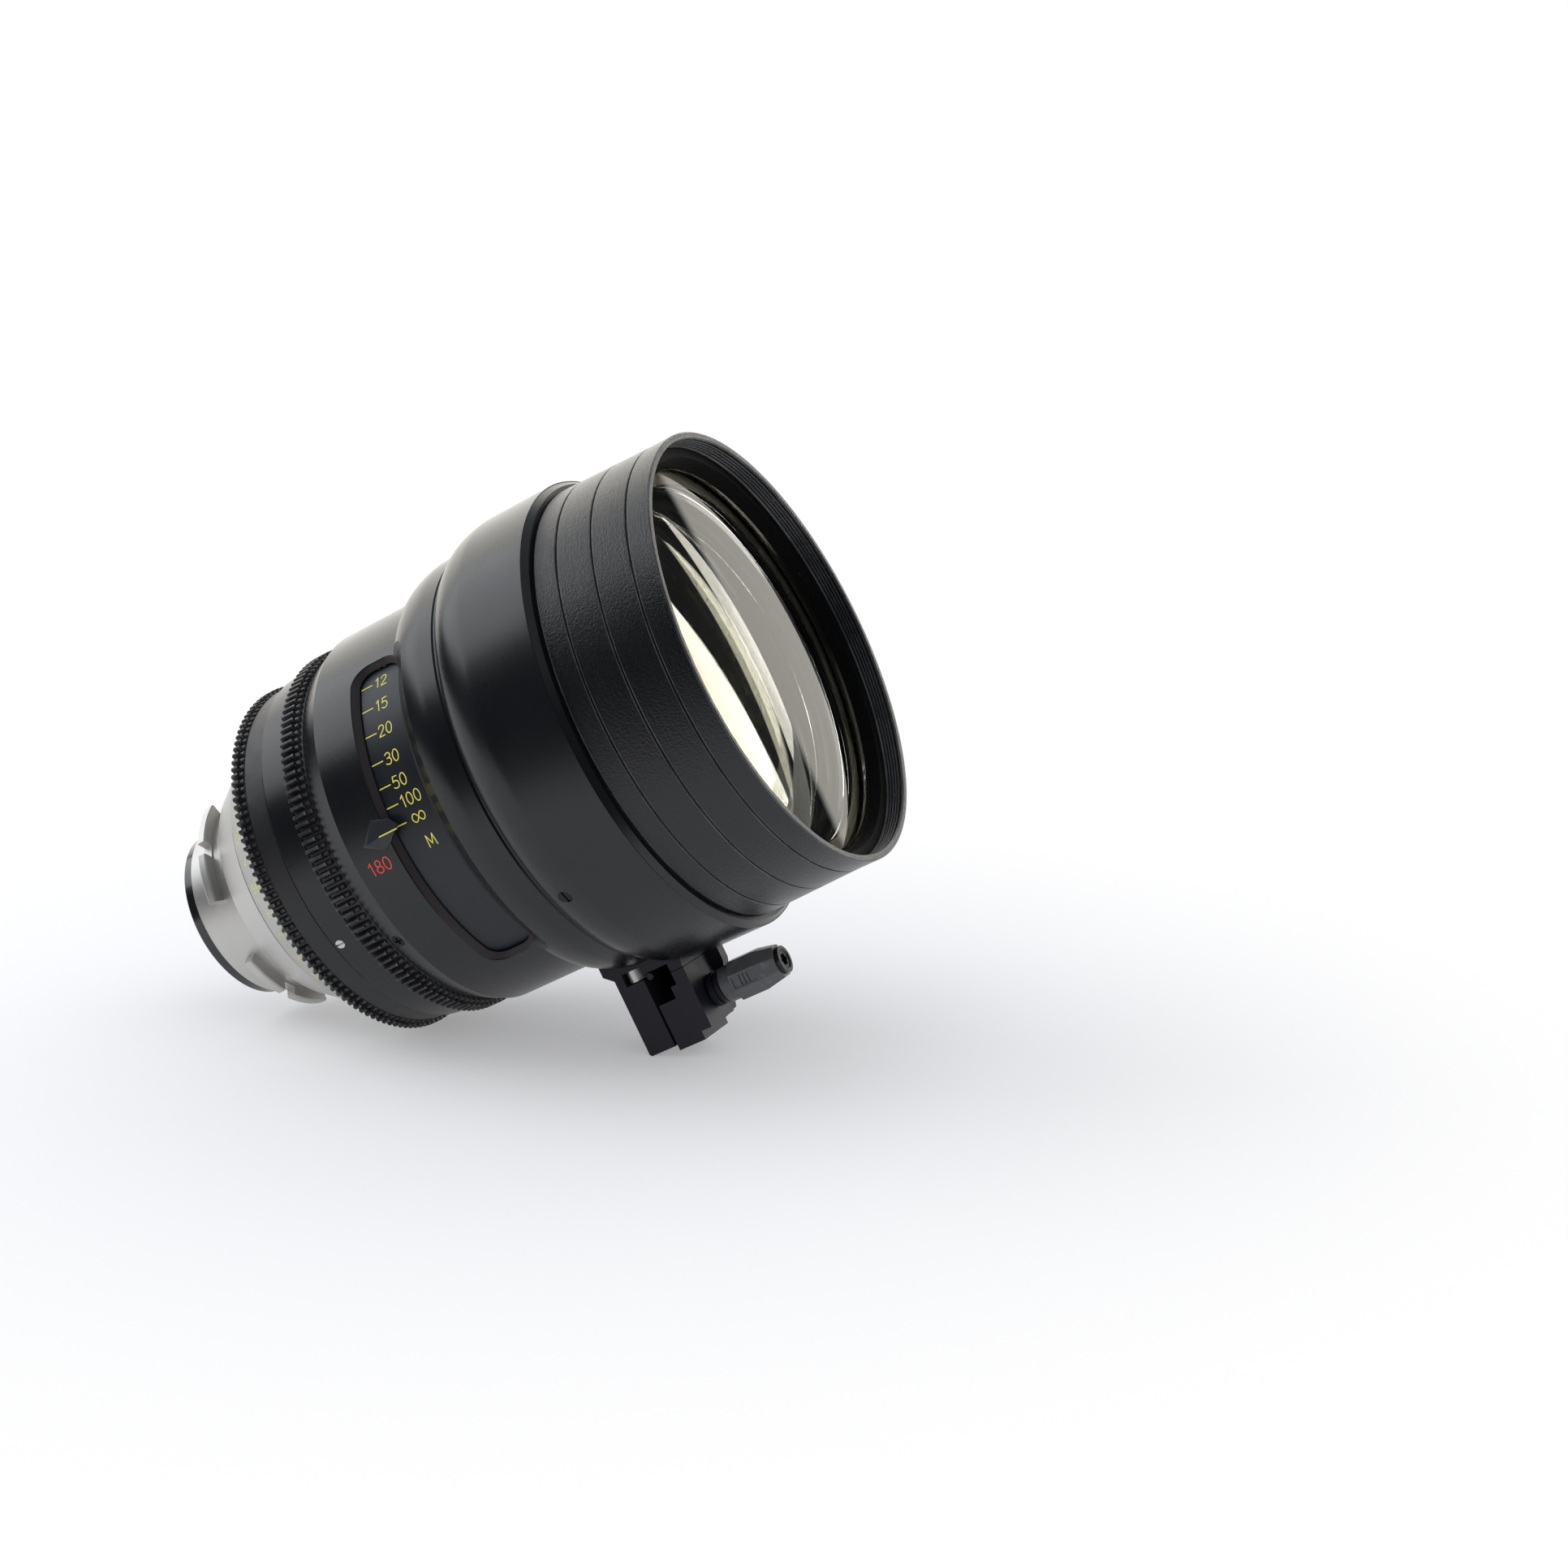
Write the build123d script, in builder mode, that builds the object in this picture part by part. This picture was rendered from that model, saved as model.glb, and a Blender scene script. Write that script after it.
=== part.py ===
from build123d import *
import math
import os

os.makedirs("parts", exist_ok=True)

# A 180 mm cinema prime lens with a positive-lock bayonet.
# +X runs along the optical axis towards the front glass, +Z is the top of the lens,
# and the origin is the centre of the mount's seat, where the lens meets the camera.
# Stations are distances along X. Angles go round the axis from the top towards -Y,
# the side with the large window.

# Fits between neighbours
RUNNING_GAP = 0.05  # radial gap of rings and tubes that turn or slide in each other
END_GAP = 0.3  # axial gap between faces that move past each other
SEAT_GAP = 0.05  # gap under a piece laid on a round surface
SCREW_GAP = 0.05  # radial gap round a screw shank
OVERRUN = 2.0  # how far a cutting shape runs past the face that it cuts

# Bayonet mount
SPIGOT_RADIUS = 27.0
SPIGOT_LENGTH = 10.1
SPIGOT_WALL = 2.4
LUG_RADIUS = 35.0
LUG_THICKNESS = 2.8
LUG_COUNT = 4
LUG_ANGLE = 57.0  # degrees covered by one lug
LUG_FIRST_ANGLE = 53.0
NOTCH_WIDTH = 4.3
NOTCH_DEPTH = 3.0
UNDERCUT_RADIUS = 31.5
UNDERCUT_LENGTH = 5.7
MOUNT_CONE_LENGTH = 11.0
MOUNT_CONE_REAR_RISE = 3.8  # step up from the undercut to the cone
MOUNT_CONE_FRONT_RISE = 2.5  # how far the cone's front edge stands outside the carrier
MOUNT_BORE_RADIUS = 33.0  # wide bore inside the cone
MOUNT_EDGE_CHAMFER = 0.4

MOUNT_SCREW_COUNT = 4
MOUNT_SCREW_RADIUS = 1.25
MOUNT_SCREW_HEAD_RADIUS = 2.3
MOUNT_SCREW_BITE = 5.0  # length of thread in the carrier
MOUNT_SCREW_FIRST_ANGLE = 35.0

SHIM_THICKNESS = 0.3

# Black ring behind the spigot
BAFFLE_LENGTH = 3.7
BAFFLE_STEP = 1.0  # how much smaller it is than the spigot
BAFFLE_OPENING_RADIUS = 19.0
BAFFLE_EDGE_CHAMFER = 0.6

# Rear glasses in their cell
REAR_CELL_WALL = 2.2
REAR_CELL_LENGTH = 30.0
REAR_CELL_LIP = 2.0
REAR_CELL_LIP_LENGTH = 2.0
REAR_SPACER_WALL = 2.0
REAR_GLASS_EDGE = 3.0
REAR_GLASS_BULGE = 2.2
REAR_GLASS_REAR_BULGE = 1.0
REAR_INNER_GLASS_EDGE = 4.0
REAR_INNER_GLASS_BULGE = 1.0
REAR_INNER_GLASS_REAR_BULGE = -3.0
GLASS_GAP = 0.1  # radial gap round the smaller glasses

# Iris carrier, the fixed tube that the iris rings turn on
CARRIER_RADIUS = 40.0
CARRIER_WALL = 2.8
CARRIER_NECK_LENGTH = 8.0  # neck inside the mount's cone
CARRIER_WALL_THICKNESS = 2.5
CARRIER_LENGTH = 21.6  # from the shim to the rear barrel
CARRIER_COLLAR_LENGTH = 0.6
CARRIER_COLLAR_RISE = 0.8

# Iris blades and what drives them
BLADE_COUNT = 8
BLADE_THICKNESS = 0.3
BLADE_LAYER_GAP = 0.1
BLADE_INNER_RADIUS = 25.0
BLADE_WIDTH = 8.5
BLADE_PIVOT_OUTSET = 1.1  # pivot centre outside the blade's outer edge
BLADE_PIVOT_RADIUS = 0.7
BLADE_EAR_RADIUS = 1.7
BLADE_ARC = 100.0  # degrees covered by one blade
BLADE_START_ANGLE = 2.0
DRIVE_RING_THICKNESS = 2.4
DRIVE_RING_WIDTH = 8.0
DRIVE_PIN_RADIUS = 0.7
DRIVE_PIN_BITE = 3.0
DRIVE_PIN_ANGLE = 180.0
IRIS_TRAVEL = 90.0  # degrees that the iris ring turns
IRIS_COVER_THICKNESS = 1.5

# Iris scale ring
SCALE_RING_LENGTH = 9.0
SCALE_RING_REAR_RISE = 1.3  # how far its rear edge stands outside the mount's cone
SCALE_RING_FRONT_DROP = 2.2  # how far its front edge lies inside the iris ring
SCALE_RING_FLANGE_DROP = 1.5

# Iris gear ring
IRIS_TEETH = 134
IRIS_PITCH_RISE = 13.6  # pitch circle outside the carrier
IRIS_TEETH_LENGTH = 2.4
IRIS_STEP_LENGTH = 1.6
IRIS_HUB_LENGTH = 6.6
IRIS_HUB_DROP = 0.4  # hub surface inside the pitch circle
IRIS_SCALE_GROOVE = 0.8  # groove between the scale ring and the teeth
RING_RIM_WALL = 3.2
RING_HUB_WALL = 2.5
RING_WEB = 3.0
TOOTH_STEP_DROP = 0.8  # the low lands beside the full teeth
tooth_tip_share = 0.14  # half a tooth's tip, as a share of the pitch
tooth_root_share = 0.34  # half a tooth's root, as a share of the pitch
tooth_depth_share = 1.25  # depth below the pitch circle, as a share of the module

# Fixed tube that carries the focusing group
TUBE_RADIUS = 51.0
TUBE_WALL = 2.5
TUBE_FLANGE_LENGTH = 6.0
GUIDE_SLOT_COUNT = 3
GUIDE_FIRST_ANGLE = 30.0

# Fixed band between the gear rings
BAND_LENGTH = 8.7
BAND_RIM_WALL = 3.5
BAND_WEB = 4.6
BAND_CHAMFER = 0.5
BAND_SCREW_COUNT = 3
BAND_SCREW_ANGLE = 113.2
BAND_SCREW_RADIUS = 1.35
BAND_SCREW_DEPTH = 5.0
SCREW_SLOT_WIDTH = 0.5
SCREW_SLOT_DEPTH = 0.5

# Focus gear ring
FOCUS_TEETH = 140
FOCUS_PITCH_RISE = 5.0  # pitch circle outside the tube
FOCUS_TEETH_LENGTH = 4.4
FOCUS_STEP_LENGTH = 1.6
FOCUS_FLANGE_LENGTH = 0.8
FOCUS_TRAVEL = 120.0  # degrees that the focus ring turns

# Focus sleeve, which turns with the gear and carries the scale
SLEEVE_GAP = 0.3  # radial gap between the sleeve and the tube inside it
SLEEVE_NECK_WALL = 1.3
SLEEVE_WALL = 4.1
SLEEVE_LENGTH = 38.0

# Main barrel
BARREL_GAP = 0.5  # radial gap round the sleeve
BARREL_WALL = 1.9
BARREL_LENGTH = 52.2  # rear edge to the seam in front of the first shoulder
BARREL_LIP_LENGTH = 6.5
BARREL_REAR_CHAMFER_LENGTH = 6.0
BARREL_REAR_CHAMFER_DROP = 2.5
BARREL_STRAIGHT_END = 34.0  # rear edge to the start of the first shoulder
SHOULDER_1_LENGTH = 14.0
SHOULDER_1_RISE = 5.8
GLIDE_RING_WALL = 1.5
GLIDE_RING_LENGTH = 5.6
SEAM_GROOVE = 0.4

BARREL_SCREW_COUNT = 3
BARREL_SCREW_ANGLE = 119.1
BARREL_SCREW_HEAD_RADIUS = 1.9
BARREL_SCREW_HEAD_HEIGHT = 0.9
BARREL_SCREW_SHANK_RADIUS = 1.0
BARREL_SCREW_DEPTH = 3.4
CROSS_ARM_LENGTH = 2.2
CROSS_ARM_WIDTH = 0.6
CROSS_DEPTH = 0.6

# Windows over the focus scale, one on each side
WINDOW_REAR = 20.9  # barrel's rear edge to the opening's rear edge
WINDOW_WIDTH = 13.6
WINDOW_ANGLE = 99.0
WINDOW_MIDDLE_ANGLE = 90.5
WINDOW_PAD_LENGTH = 10.0  # straight part of each end, round the axis
WINDOW_CORNER = 4.6
WINDOW_SLOPE = 43.0  # degrees of the sloping edge from the radial

# Index wedge beside the window
WEDGE_HEIGHT = 0.8
WEDGE_LENGTH = 12.8
WEDGE_WIDTH = 8.6
WEDGE_REAR = 11.0  # barrel's rear edge to the wedge's tip
WEDGE_ANGLE = 90.8
WEDGE_CHAMFER = 0.35
wedge_shares = ((0, 0), (0.45, -0.36), (0.63, -0.2), (1, 0.2), (0.84, 0.5), (0.41, 0.64))

# Front housing, from the seam to the lip
HOUSING_LENGTH = 34.6
SHOULDER_2_LENGTH = 12.8
HOUSING_LIP_LENGTH = 1.7
HOUSING_LIP_DROP = 1.6
HOUSING_LIP_STEP = 0.26
HOUSING_BORE_WALL = 3.1
HOUSING_SEAT_LENGTH = 2.0
HOUSING_SCREW_COUNT = 3
HOUSING_SCREW_ANGLE = 122.3
HOUSING_SCREW_STATION = 6.8  # from the seam
HOUSING_SCREW_RADIUS = 2.0
HOUSING_SCREW_DEPTH = 3.6

# Front hood
HOOD_LENGTH = 37.2
HOOD_WALL = 2.2
HOOD_TAPER = 0.9
HOOD_NOSE_LENGTH = 7.2  # straight end that a matte box clamps on
HOOD_GROOVE_WIDTH = 0.5
HOOD_GROOVE_DEPTH = 0.5
HOOD_GROOVE_PITCH = 11.0
HOOD_GROOVE_COUNT = 3
HOOD_TAIL_LENGTH = 8.0
HOOD_TAIL_DROP = 0.75
HOOD_TAIL_GAP = 0.6  # groove in front of the housing's lip
HOOD_EDGE_CHAMFER = 0.3
FILTER_THREAD_COUNT = 5
FILTER_THREAD_PITCH = 0.9
FILTER_THREAD_DEPTH = 0.45
FILTER_THREAD_START = 0.9
filter_groove_share = 0.95  # a groove's width, as a share of the pitch

HOUSING_RISE = 2.8  # how far the housing stands outside the hood's rear end

# Front glasses in their cell
FRONT_GLASS_RADIUS = 60.3
FRONT_GLASS_GAP = 0.3
FRONT_GLASS_EDGE = 7.0
GLASS_LAND = 2.6  # flat rim of each big glass
FRONT_GLASS_BULGE = 0.8
FRONT_GLASS_NOSE = 4.5  # the front face stands this far ahead of its land
FRONT_GLASS_REAR_BULGE = 4.2
SECOND_GLASS_EDGE = 5.0
SECOND_GLASS_BULGE = 7.8
SECOND_GLASS_REAR_BULGE = 5.6
FRONT_SPACER_WALL = 2.5
FRONT_SPACER_LENGTH = 5.5
FRONT_CELL_WALL = 1.5
FRONT_CELL_SETBACK = 6.0  # behind the hood's front face
FRONT_CELL_LIP = 5.0
FRONT_CELL_LIP_LENGTH = 4.0
CELL_FIT = 0.05

RETAINER_STRAIGHT = 4.0
RETAINER_WALL = 1.1
RETAINER_STEP = 0.6
RETAINER_CONE_LENGTH = 4.0
RETAINER_CONE_DROP = 1.5
RETAINER_RIDGE_COUNT = 6
RETAINER_RIDGE_DEPTH = 0.2

# Black cone between the tube and the front cell
LIGHT_BAFFLE_WALL = 1.0
LIGHT_BAFFLE_FLANGE = 4.0
LIGHT_BAFFLE_INSET = 2.0
LIGHT_BAFFLE_STEPS = 5

# Focusing group
FOCUS_SHIFT = 14.0  # how far the group moves forward
CELL_LENGTH = 30.0
CELL_REAR = 17.0  # tube's rear end to the cell's rear end at infinity
CELL_RUNNING_GAP = 0.3
CELL_WALL = 3.0
CELL_LIP = 2.4
CELL_LIP_LENGTH = 2.5
CELL_RETAINER_LENGTH = 3.0
CELL_RETAINER_WALL = 2.5
CELL_SPACER_WALL = 2.5
CELL_FRONT_GLASS_EDGE = 4.0
CELL_FRONT_GLASS_BULGE = 5.0
CELL_REAR_GLASS_EDGE = 4.0
CELL_REAR_GLASS_BULGE = 3.0
ROLLER_RADIUS = 1.6
ROLLER_STATION = 7.0  # from the cell's rear end
ROLLER_REACH = 1.3  # how far a roller stands in the sleeve's groove
ROLLER_SEAT = 2.5  # how deep a roller's stem sits in the cell
ROLLER_GAP = 0.4
CAM_RADIUS = 2.15
CAM_RISE = 0.7  # middle of the groove outside the sleeve's bore

# Support foot under the first shoulder
FOOT_WIDTH = 22.0
FOOT_REAR = 37.5  # barrel's rear edge to the foot's rear face
FOOT_BLOCK_LENGTH = 8.5
FOOT_BASE_DROP = 9.2  # clamp screw's axis to the foot's lowest face
FOOT_BEVEL = 0.6
FOOT_LIP_REACH = 2.8
FOOT_LIP_RISE = 3.7  # the rear lip's edge above the slot's roof
FOOT_LIP_BEVEL = 2.3
FOOT_NOSE_WALL = 0.45  # nose's underside outside the housing
FOOT_NOSE_DROP = 2.5  # slot's roof to the nose's underside
FOOT_TOP_RISE = 16.0  # where the block starts, above the slot's roof and inside the barrel
SLOT_LENGTH = 8.7  # room for the plate that the foot clamps
SLOT_HEIGHT = 10.0
NOSE_LENGTH = 4.2
CHEEK_THICKNESS = 4.0
CHEEK_LENGTH = 16.5
CHEEK_FRONT_DROP = 7.8  # clamp screw's axis to the cheek's front corner
CHEEK_REAR_DROP = 12.3
CHEEK_BEVEL_LENGTH = 12.1

JAW_GAP = 0.2
JAW_SPLIT = 0.8  # gap between the block and the closed jaw
JAW_LIP_OVERLAP = 0.8
JAW_LIP_DROP = 10.8  # clamp screw's axis to the lip's lowest face
JAW_DROP = 8.2
JAW_STEP_HEIGHT = 3.6
JAW_STEP_LENGTH = 2.0

BOLT_SIDE = 7.4
BOLT_STATION = 5.8  # from the foot's rear face
BOLT_HEAD_RADIUS = 2.75
BOLT_HEAD_HEIGHT = 3.5
BOLT_HEAD_RISE = 2.3  # head's seat above the slot's roof
BOLT_SHANK_RADIUS = 1.5
BOLT_SHANK_LENGTH = 2.2
BOLT_SOCKET_RADIUS = 1.4
BOLT_SOCKET_DEPTH = 1.6
BOLT_ROOM = 0.3
CROSS_PIN_RADIUS = 1.0
CROSS_PIN_REACH = 1.8  # ahead of the block
CROSS_PIN_DROP = 1.4  # below the slot's roof

CLAMP_AXIS_DROP = 3.0  # below the slot's floor
CLAMP_SCREW_RADIUS = 2.5
CLAMP_SCREW_BITE = 7.0
CLAMP_SCREW_FIT = 0.1
COLLAR_RADIUS = 5.0
COLLAR_LENGTH = 4.6
COLLAR_CHAMFER = 0.6
COLLAR_GROOVE = 0.6
KNOB_RADIUS = 6.2
KNOB_LENGTH = 18.2
KNOB_SIDES = 8
KNOB_TAPER = 1.2
KNOB_TAPER_LENGTH = 6.0
KNOB_TAIL_LENGTH = 3.6
KNOB_TAIL_RADIUS = 5.2
KNOB_BORE_DEPTH = 11.0
KNOB_PANEL_DEPTH = 0.5
KNOB_PANEL_LENGTH = 9.0
KNOB_PANEL_WIDTH = 3.6
KNOB_SLOT_COUNT = 3
KNOB_SLOT_WIDTH = 0.5
KNOB_SLOT_PITCH = 1.3
KNOB_SLOT_LENGTH = 3.0
KNOB_SLOT_DEPTH = 0.4
CAP_RADIUS = 4.0
CAP_LENGTH = 1.4
END_SCREW_RADIUS = 2.6
END_SCREW_LENGTH = 3.4
END_SOCKET_RADIUS = 1.6
END_SOCKET_DEPTH = 1.2
END_SOCKET_POINTS = 6

# Stations along the axis, chained from the mount's seat to the front
seat = 0
spigot_end = seat - SPIGOT_LENGTH
baffle_end = spigot_end - BAFFLE_LENGTH
undercut_start = seat + LUG_THICKNESS
cone_start = undercut_start + UNDERCUT_LENGTH
cone_end = cone_start + MOUNT_CONE_LENGTH
carrier_start = cone_end + SHIM_THICKNESS
carrier_end = carrier_start + CARRIER_LENGTH
collar_end = carrier_start + CARRIER_COLLAR_LENGTH
scale_ring_start = collar_end + END_GAP / 2
scale_ring_end = scale_ring_start + SCALE_RING_LENGTH
iris_ring_start = scale_ring_end + IRIS_SCALE_GROOVE
iris_ring_end = iris_ring_start + IRIS_TEETH_LENGTH + IRIS_STEP_LENGTH + IRIS_HUB_LENGTH
band_start = carrier_end
tube_start = band_start + BAND_WEB
band_end = band_start + BAND_LENGTH
focus_ring_start = band_end + END_GAP
focus_step_start = focus_ring_start + FOCUS_TEETH_LENGTH
focus_flange_start = focus_step_start + FOCUS_STEP_LENGTH
focus_ring_end = focus_flange_start + FOCUS_FLANGE_LENGTH
barrel_start = focus_ring_end + END_GAP
lip_end = barrel_start + BARREL_LIP_LENGTH
barrel_end = barrel_start + BARREL_LENGTH
shoulder_1_start = barrel_start + BARREL_STRAIGHT_END
shoulder_1_end = shoulder_1_start + SHOULDER_1_LENGTH
sleeve_end = focus_ring_end + SLEEVE_LENGTH
sleeve_step = lip_end + END_GAP
housing_start = barrel_end
shoulder_2_end = housing_start + SHOULDER_2_LENGTH
housing_end = housing_start + HOUSING_LENGTH
housing_lip_start = housing_end - HOUSING_LIP_LENGTH
tube_end = housing_start + HOUSING_SEAT_LENGTH
tube_flange_start = tube_end - TUBE_FLANGE_LENGTH
hood_start = housing_end + HOOD_TAIL_GAP
hood_end = housing_end + HOOD_LENGTH
nose_start = hood_end - HOOD_NOSE_LENGTH
front_cell_end = hood_end - FRONT_CELL_SETBACK
retainer_end = front_cell_end
retainer_cone_start = retainer_end - RETAINER_STRAIGHT
front_glass_front = retainer_cone_start - RETAINER_CONE_LENGTH
front_glass_rear = front_glass_front - FRONT_GLASS_EDGE
second_glass_front = front_glass_rear - FRONT_SPACER_LENGTH
second_glass_rear = second_glass_front - SECOND_GLASS_EDGE
front_cell_start = second_glass_rear - FRONT_CELL_LIP_LENGTH

# Radii, built outwards from the tube at the back and from the front glass at the front
spigot_bore = SPIGOT_RADIUS - SPIGOT_WALL
mount_cone_rear_radius = UNDERCUT_RADIUS + MOUNT_CONE_REAR_RISE
mount_cone_front_radius = CARRIER_RADIUS + MOUNT_CONE_FRONT_RISE
carrier_bore = CARRIER_RADIUS - CARRIER_WALL
iris_pitch_radius = CARRIER_RADIUS + IRIS_PITCH_RISE
iris_hub_radius = iris_pitch_radius - IRIS_HUB_DROP
ring_bore = CARRIER_RADIUS + RUNNING_GAP
scale_ring_rear_radius = mount_cone_front_radius + SCALE_RING_REAR_RISE
scale_ring_front_radius = iris_hub_radius - SCALE_RING_FRONT_DROP
tube_bore = TUBE_RADIUS - TUBE_WALL
band_radius = TUBE_RADIUS + BAND_RIM_WALL
focus_pitch_radius = TUBE_RADIUS + FOCUS_PITCH_RISE
sleeve_bore = TUBE_RADIUS + SLEEVE_GAP
sleeve_neck_radius = sleeve_bore + SLEEVE_NECK_WALL
sleeve_radius = sleeve_bore + SLEEVE_WALL
barrel_bore = sleeve_radius + BARREL_GAP
barrel_radius = barrel_bore + BARREL_WALL
glide_ring_bore = sleeve_neck_radius + RUNNING_GAP
lip_bore = glide_ring_bore + GLIDE_RING_WALL
barrel_rear_radius = barrel_radius - BARREL_REAR_CHAMFER_DROP
band_1_radius = barrel_radius + SHOULDER_1_RISE
front_bore = band_1_radius - HOUSING_BORE_WALL
front_cell_bore = FRONT_GLASS_RADIUS + FRONT_GLASS_GAP
front_cell_radius = front_cell_bore + FRONT_CELL_WALL
hood_bore = front_cell_radius + CELL_FIT
hood_radius = hood_bore + HOOD_WALL
hood_rear_radius = hood_radius + HOOD_TAPER
hood_tail_radius = hood_rear_radius - HOOD_TAIL_DROP
housing_radius = hood_rear_radius + HOUSING_RISE
housing_bore = hood_tail_radius + CELL_FIT


# Shapes used more than once
def section_plane(angle):
    """The half plane through the axis at an angle, x along the axis and y outwards."""
    turn = math.radians(angle)
    return Plane(origin=(0, 0, 0), x_dir=(1, 0, 0), z_dir=(0, -math.cos(turn), -math.sin(turn)))


def half_section(points, angle=0, shoulder=()):
    """A closed outline of (station, radius) points, ready to be revolved about X; a
    smooth shoulder, where there is one, joins the last point to the first."""
    with BuildSketch(section_plane(angle)) as section:
        with BuildLine():
            if shoulder:
                Polyline(shoulder[-1], *points, shoulder[0])
                Spline(*shoulder, tangents=[(1, 1.3), (1, 0)])
            else:
                Polyline(*points, close=True)
        make_face()
    return section.sketch


def tube_section(start, end, inner, outer, angle=0):
    """The half section of a plain tube."""
    corners = [(start, inner), (end, inner), (end, outer), (start, outer)]
    return half_section(corners, angle)


def glass_section(rear, front, radius, rear_bulge, front_bulge, land=0, nose=0):
    """Half of a glass with both faces curved; a bulge is how far ahead of its edge
    the face's centre stands, negative for a centre that stands behind it. A nose lifts
    the front face above its land."""
    front_edge = front + nose
    rear_centre, front_centre = (rear + rear_bulge, 0), (front_edge + front_bulge, 0)
    clear_radius = radius - land
    with BuildSketch(Plane.XZ) as section:
        with BuildLine():
            TangentArc(rear_centre, (rear, clear_radius), tangent=(0, 1))
            if land:
                Line((rear, clear_radius), (rear, radius))
            Line((rear, radius), (front, radius))
            if land:
                Line((front, radius), (front, clear_radius))
            if nose:
                Line((front, clear_radius), (front_edge, clear_radius))
            TangentArc(front_centre, (front_edge, clear_radius), tangent=(0, 1))
            Line(front_centre, rear_centre)
        make_face()
    return section.sketch


def gear_section(start, teeth, pitch_radius):
    """A toothed outline across the axis; the module follows the pitch circle."""
    module = 2 * pitch_radius / teeth
    tip, root = pitch_radius + module, pitch_radius - tooth_depth_share * module
    shape_shares = (
        (-tooth_root_share, root),
        (-tooth_tip_share, tip),
        (tooth_tip_share, tip),
        (tooth_root_share, root),
    )
    points = []
    for tooth in range(teeth):
        for share, radius in shape_shares:
            turn = 2 * math.pi * (tooth + share) / teeth
            points.append((radius * math.sin(turn), radius * math.cos(turn)))
    with BuildSketch(Plane.YZ.offset(start)) as section:
        with BuildLine():
            Polyline(*points, close=True)
        make_face()
    return section.sketch


def radial_plane(station, radius, angle):
    """A plane facing outwards at a station, radius and angle, its x along the axis."""
    turn = math.radians(angle)
    outward = (0, -math.sin(turn), math.cos(turn))
    origin = (station, radius * outward[1], radius * outward[2])
    return Plane(origin=origin, x_dir=(1, 0, 0), z_dir=outward)


def axial_plane(station, radius, angle, forward=1):
    """A plane across the axis at a station, radius and angle."""
    place = radial_plane(station, radius, angle)
    return Plane(origin=place.origin, x_dir=place.z_dir, z_dir=(forward, 0, 0))


def angles(first, count):
    """Evenly spread angles round the axis."""
    return [first + 360 * index / count for index in range(count)]


def rounded_shoulder(start, length, low, high):
    """Points of a shoulder that leaves the low radius steeply and flattens out."""
    shoulder_shares = ((0, 0), (0.18, 0.45), (0.37, 0.71), (0.57, 0.87), (0.78, 0.97), (1, 1))
    rise = high - low
    return [(start + x * length, low + r * rise) for x, r in shoulder_shares]


# Black ring behind the spigot
with BuildPart() as rear_baffle_ring:
    baffle_radius = SPIGOT_RADIUS - BAFFLE_STEP
    baffle_outline = [
        (baffle_end, BAFFLE_OPENING_RADIUS + BAFFLE_STEP),
        (baffle_end, baffle_radius - BAFFLE_EDGE_CHAMFER),
        (baffle_end + BAFFLE_EDGE_CHAMFER, baffle_radius),
        (spigot_end, baffle_radius),
        (spigot_end, BAFFLE_OPENING_RADIUS),
        (spigot_end - BAFFLE_STEP, BAFFLE_OPENING_RADIUS),
    ]
    revolve(half_section(baffle_outline), axis=Axis.X)

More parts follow.
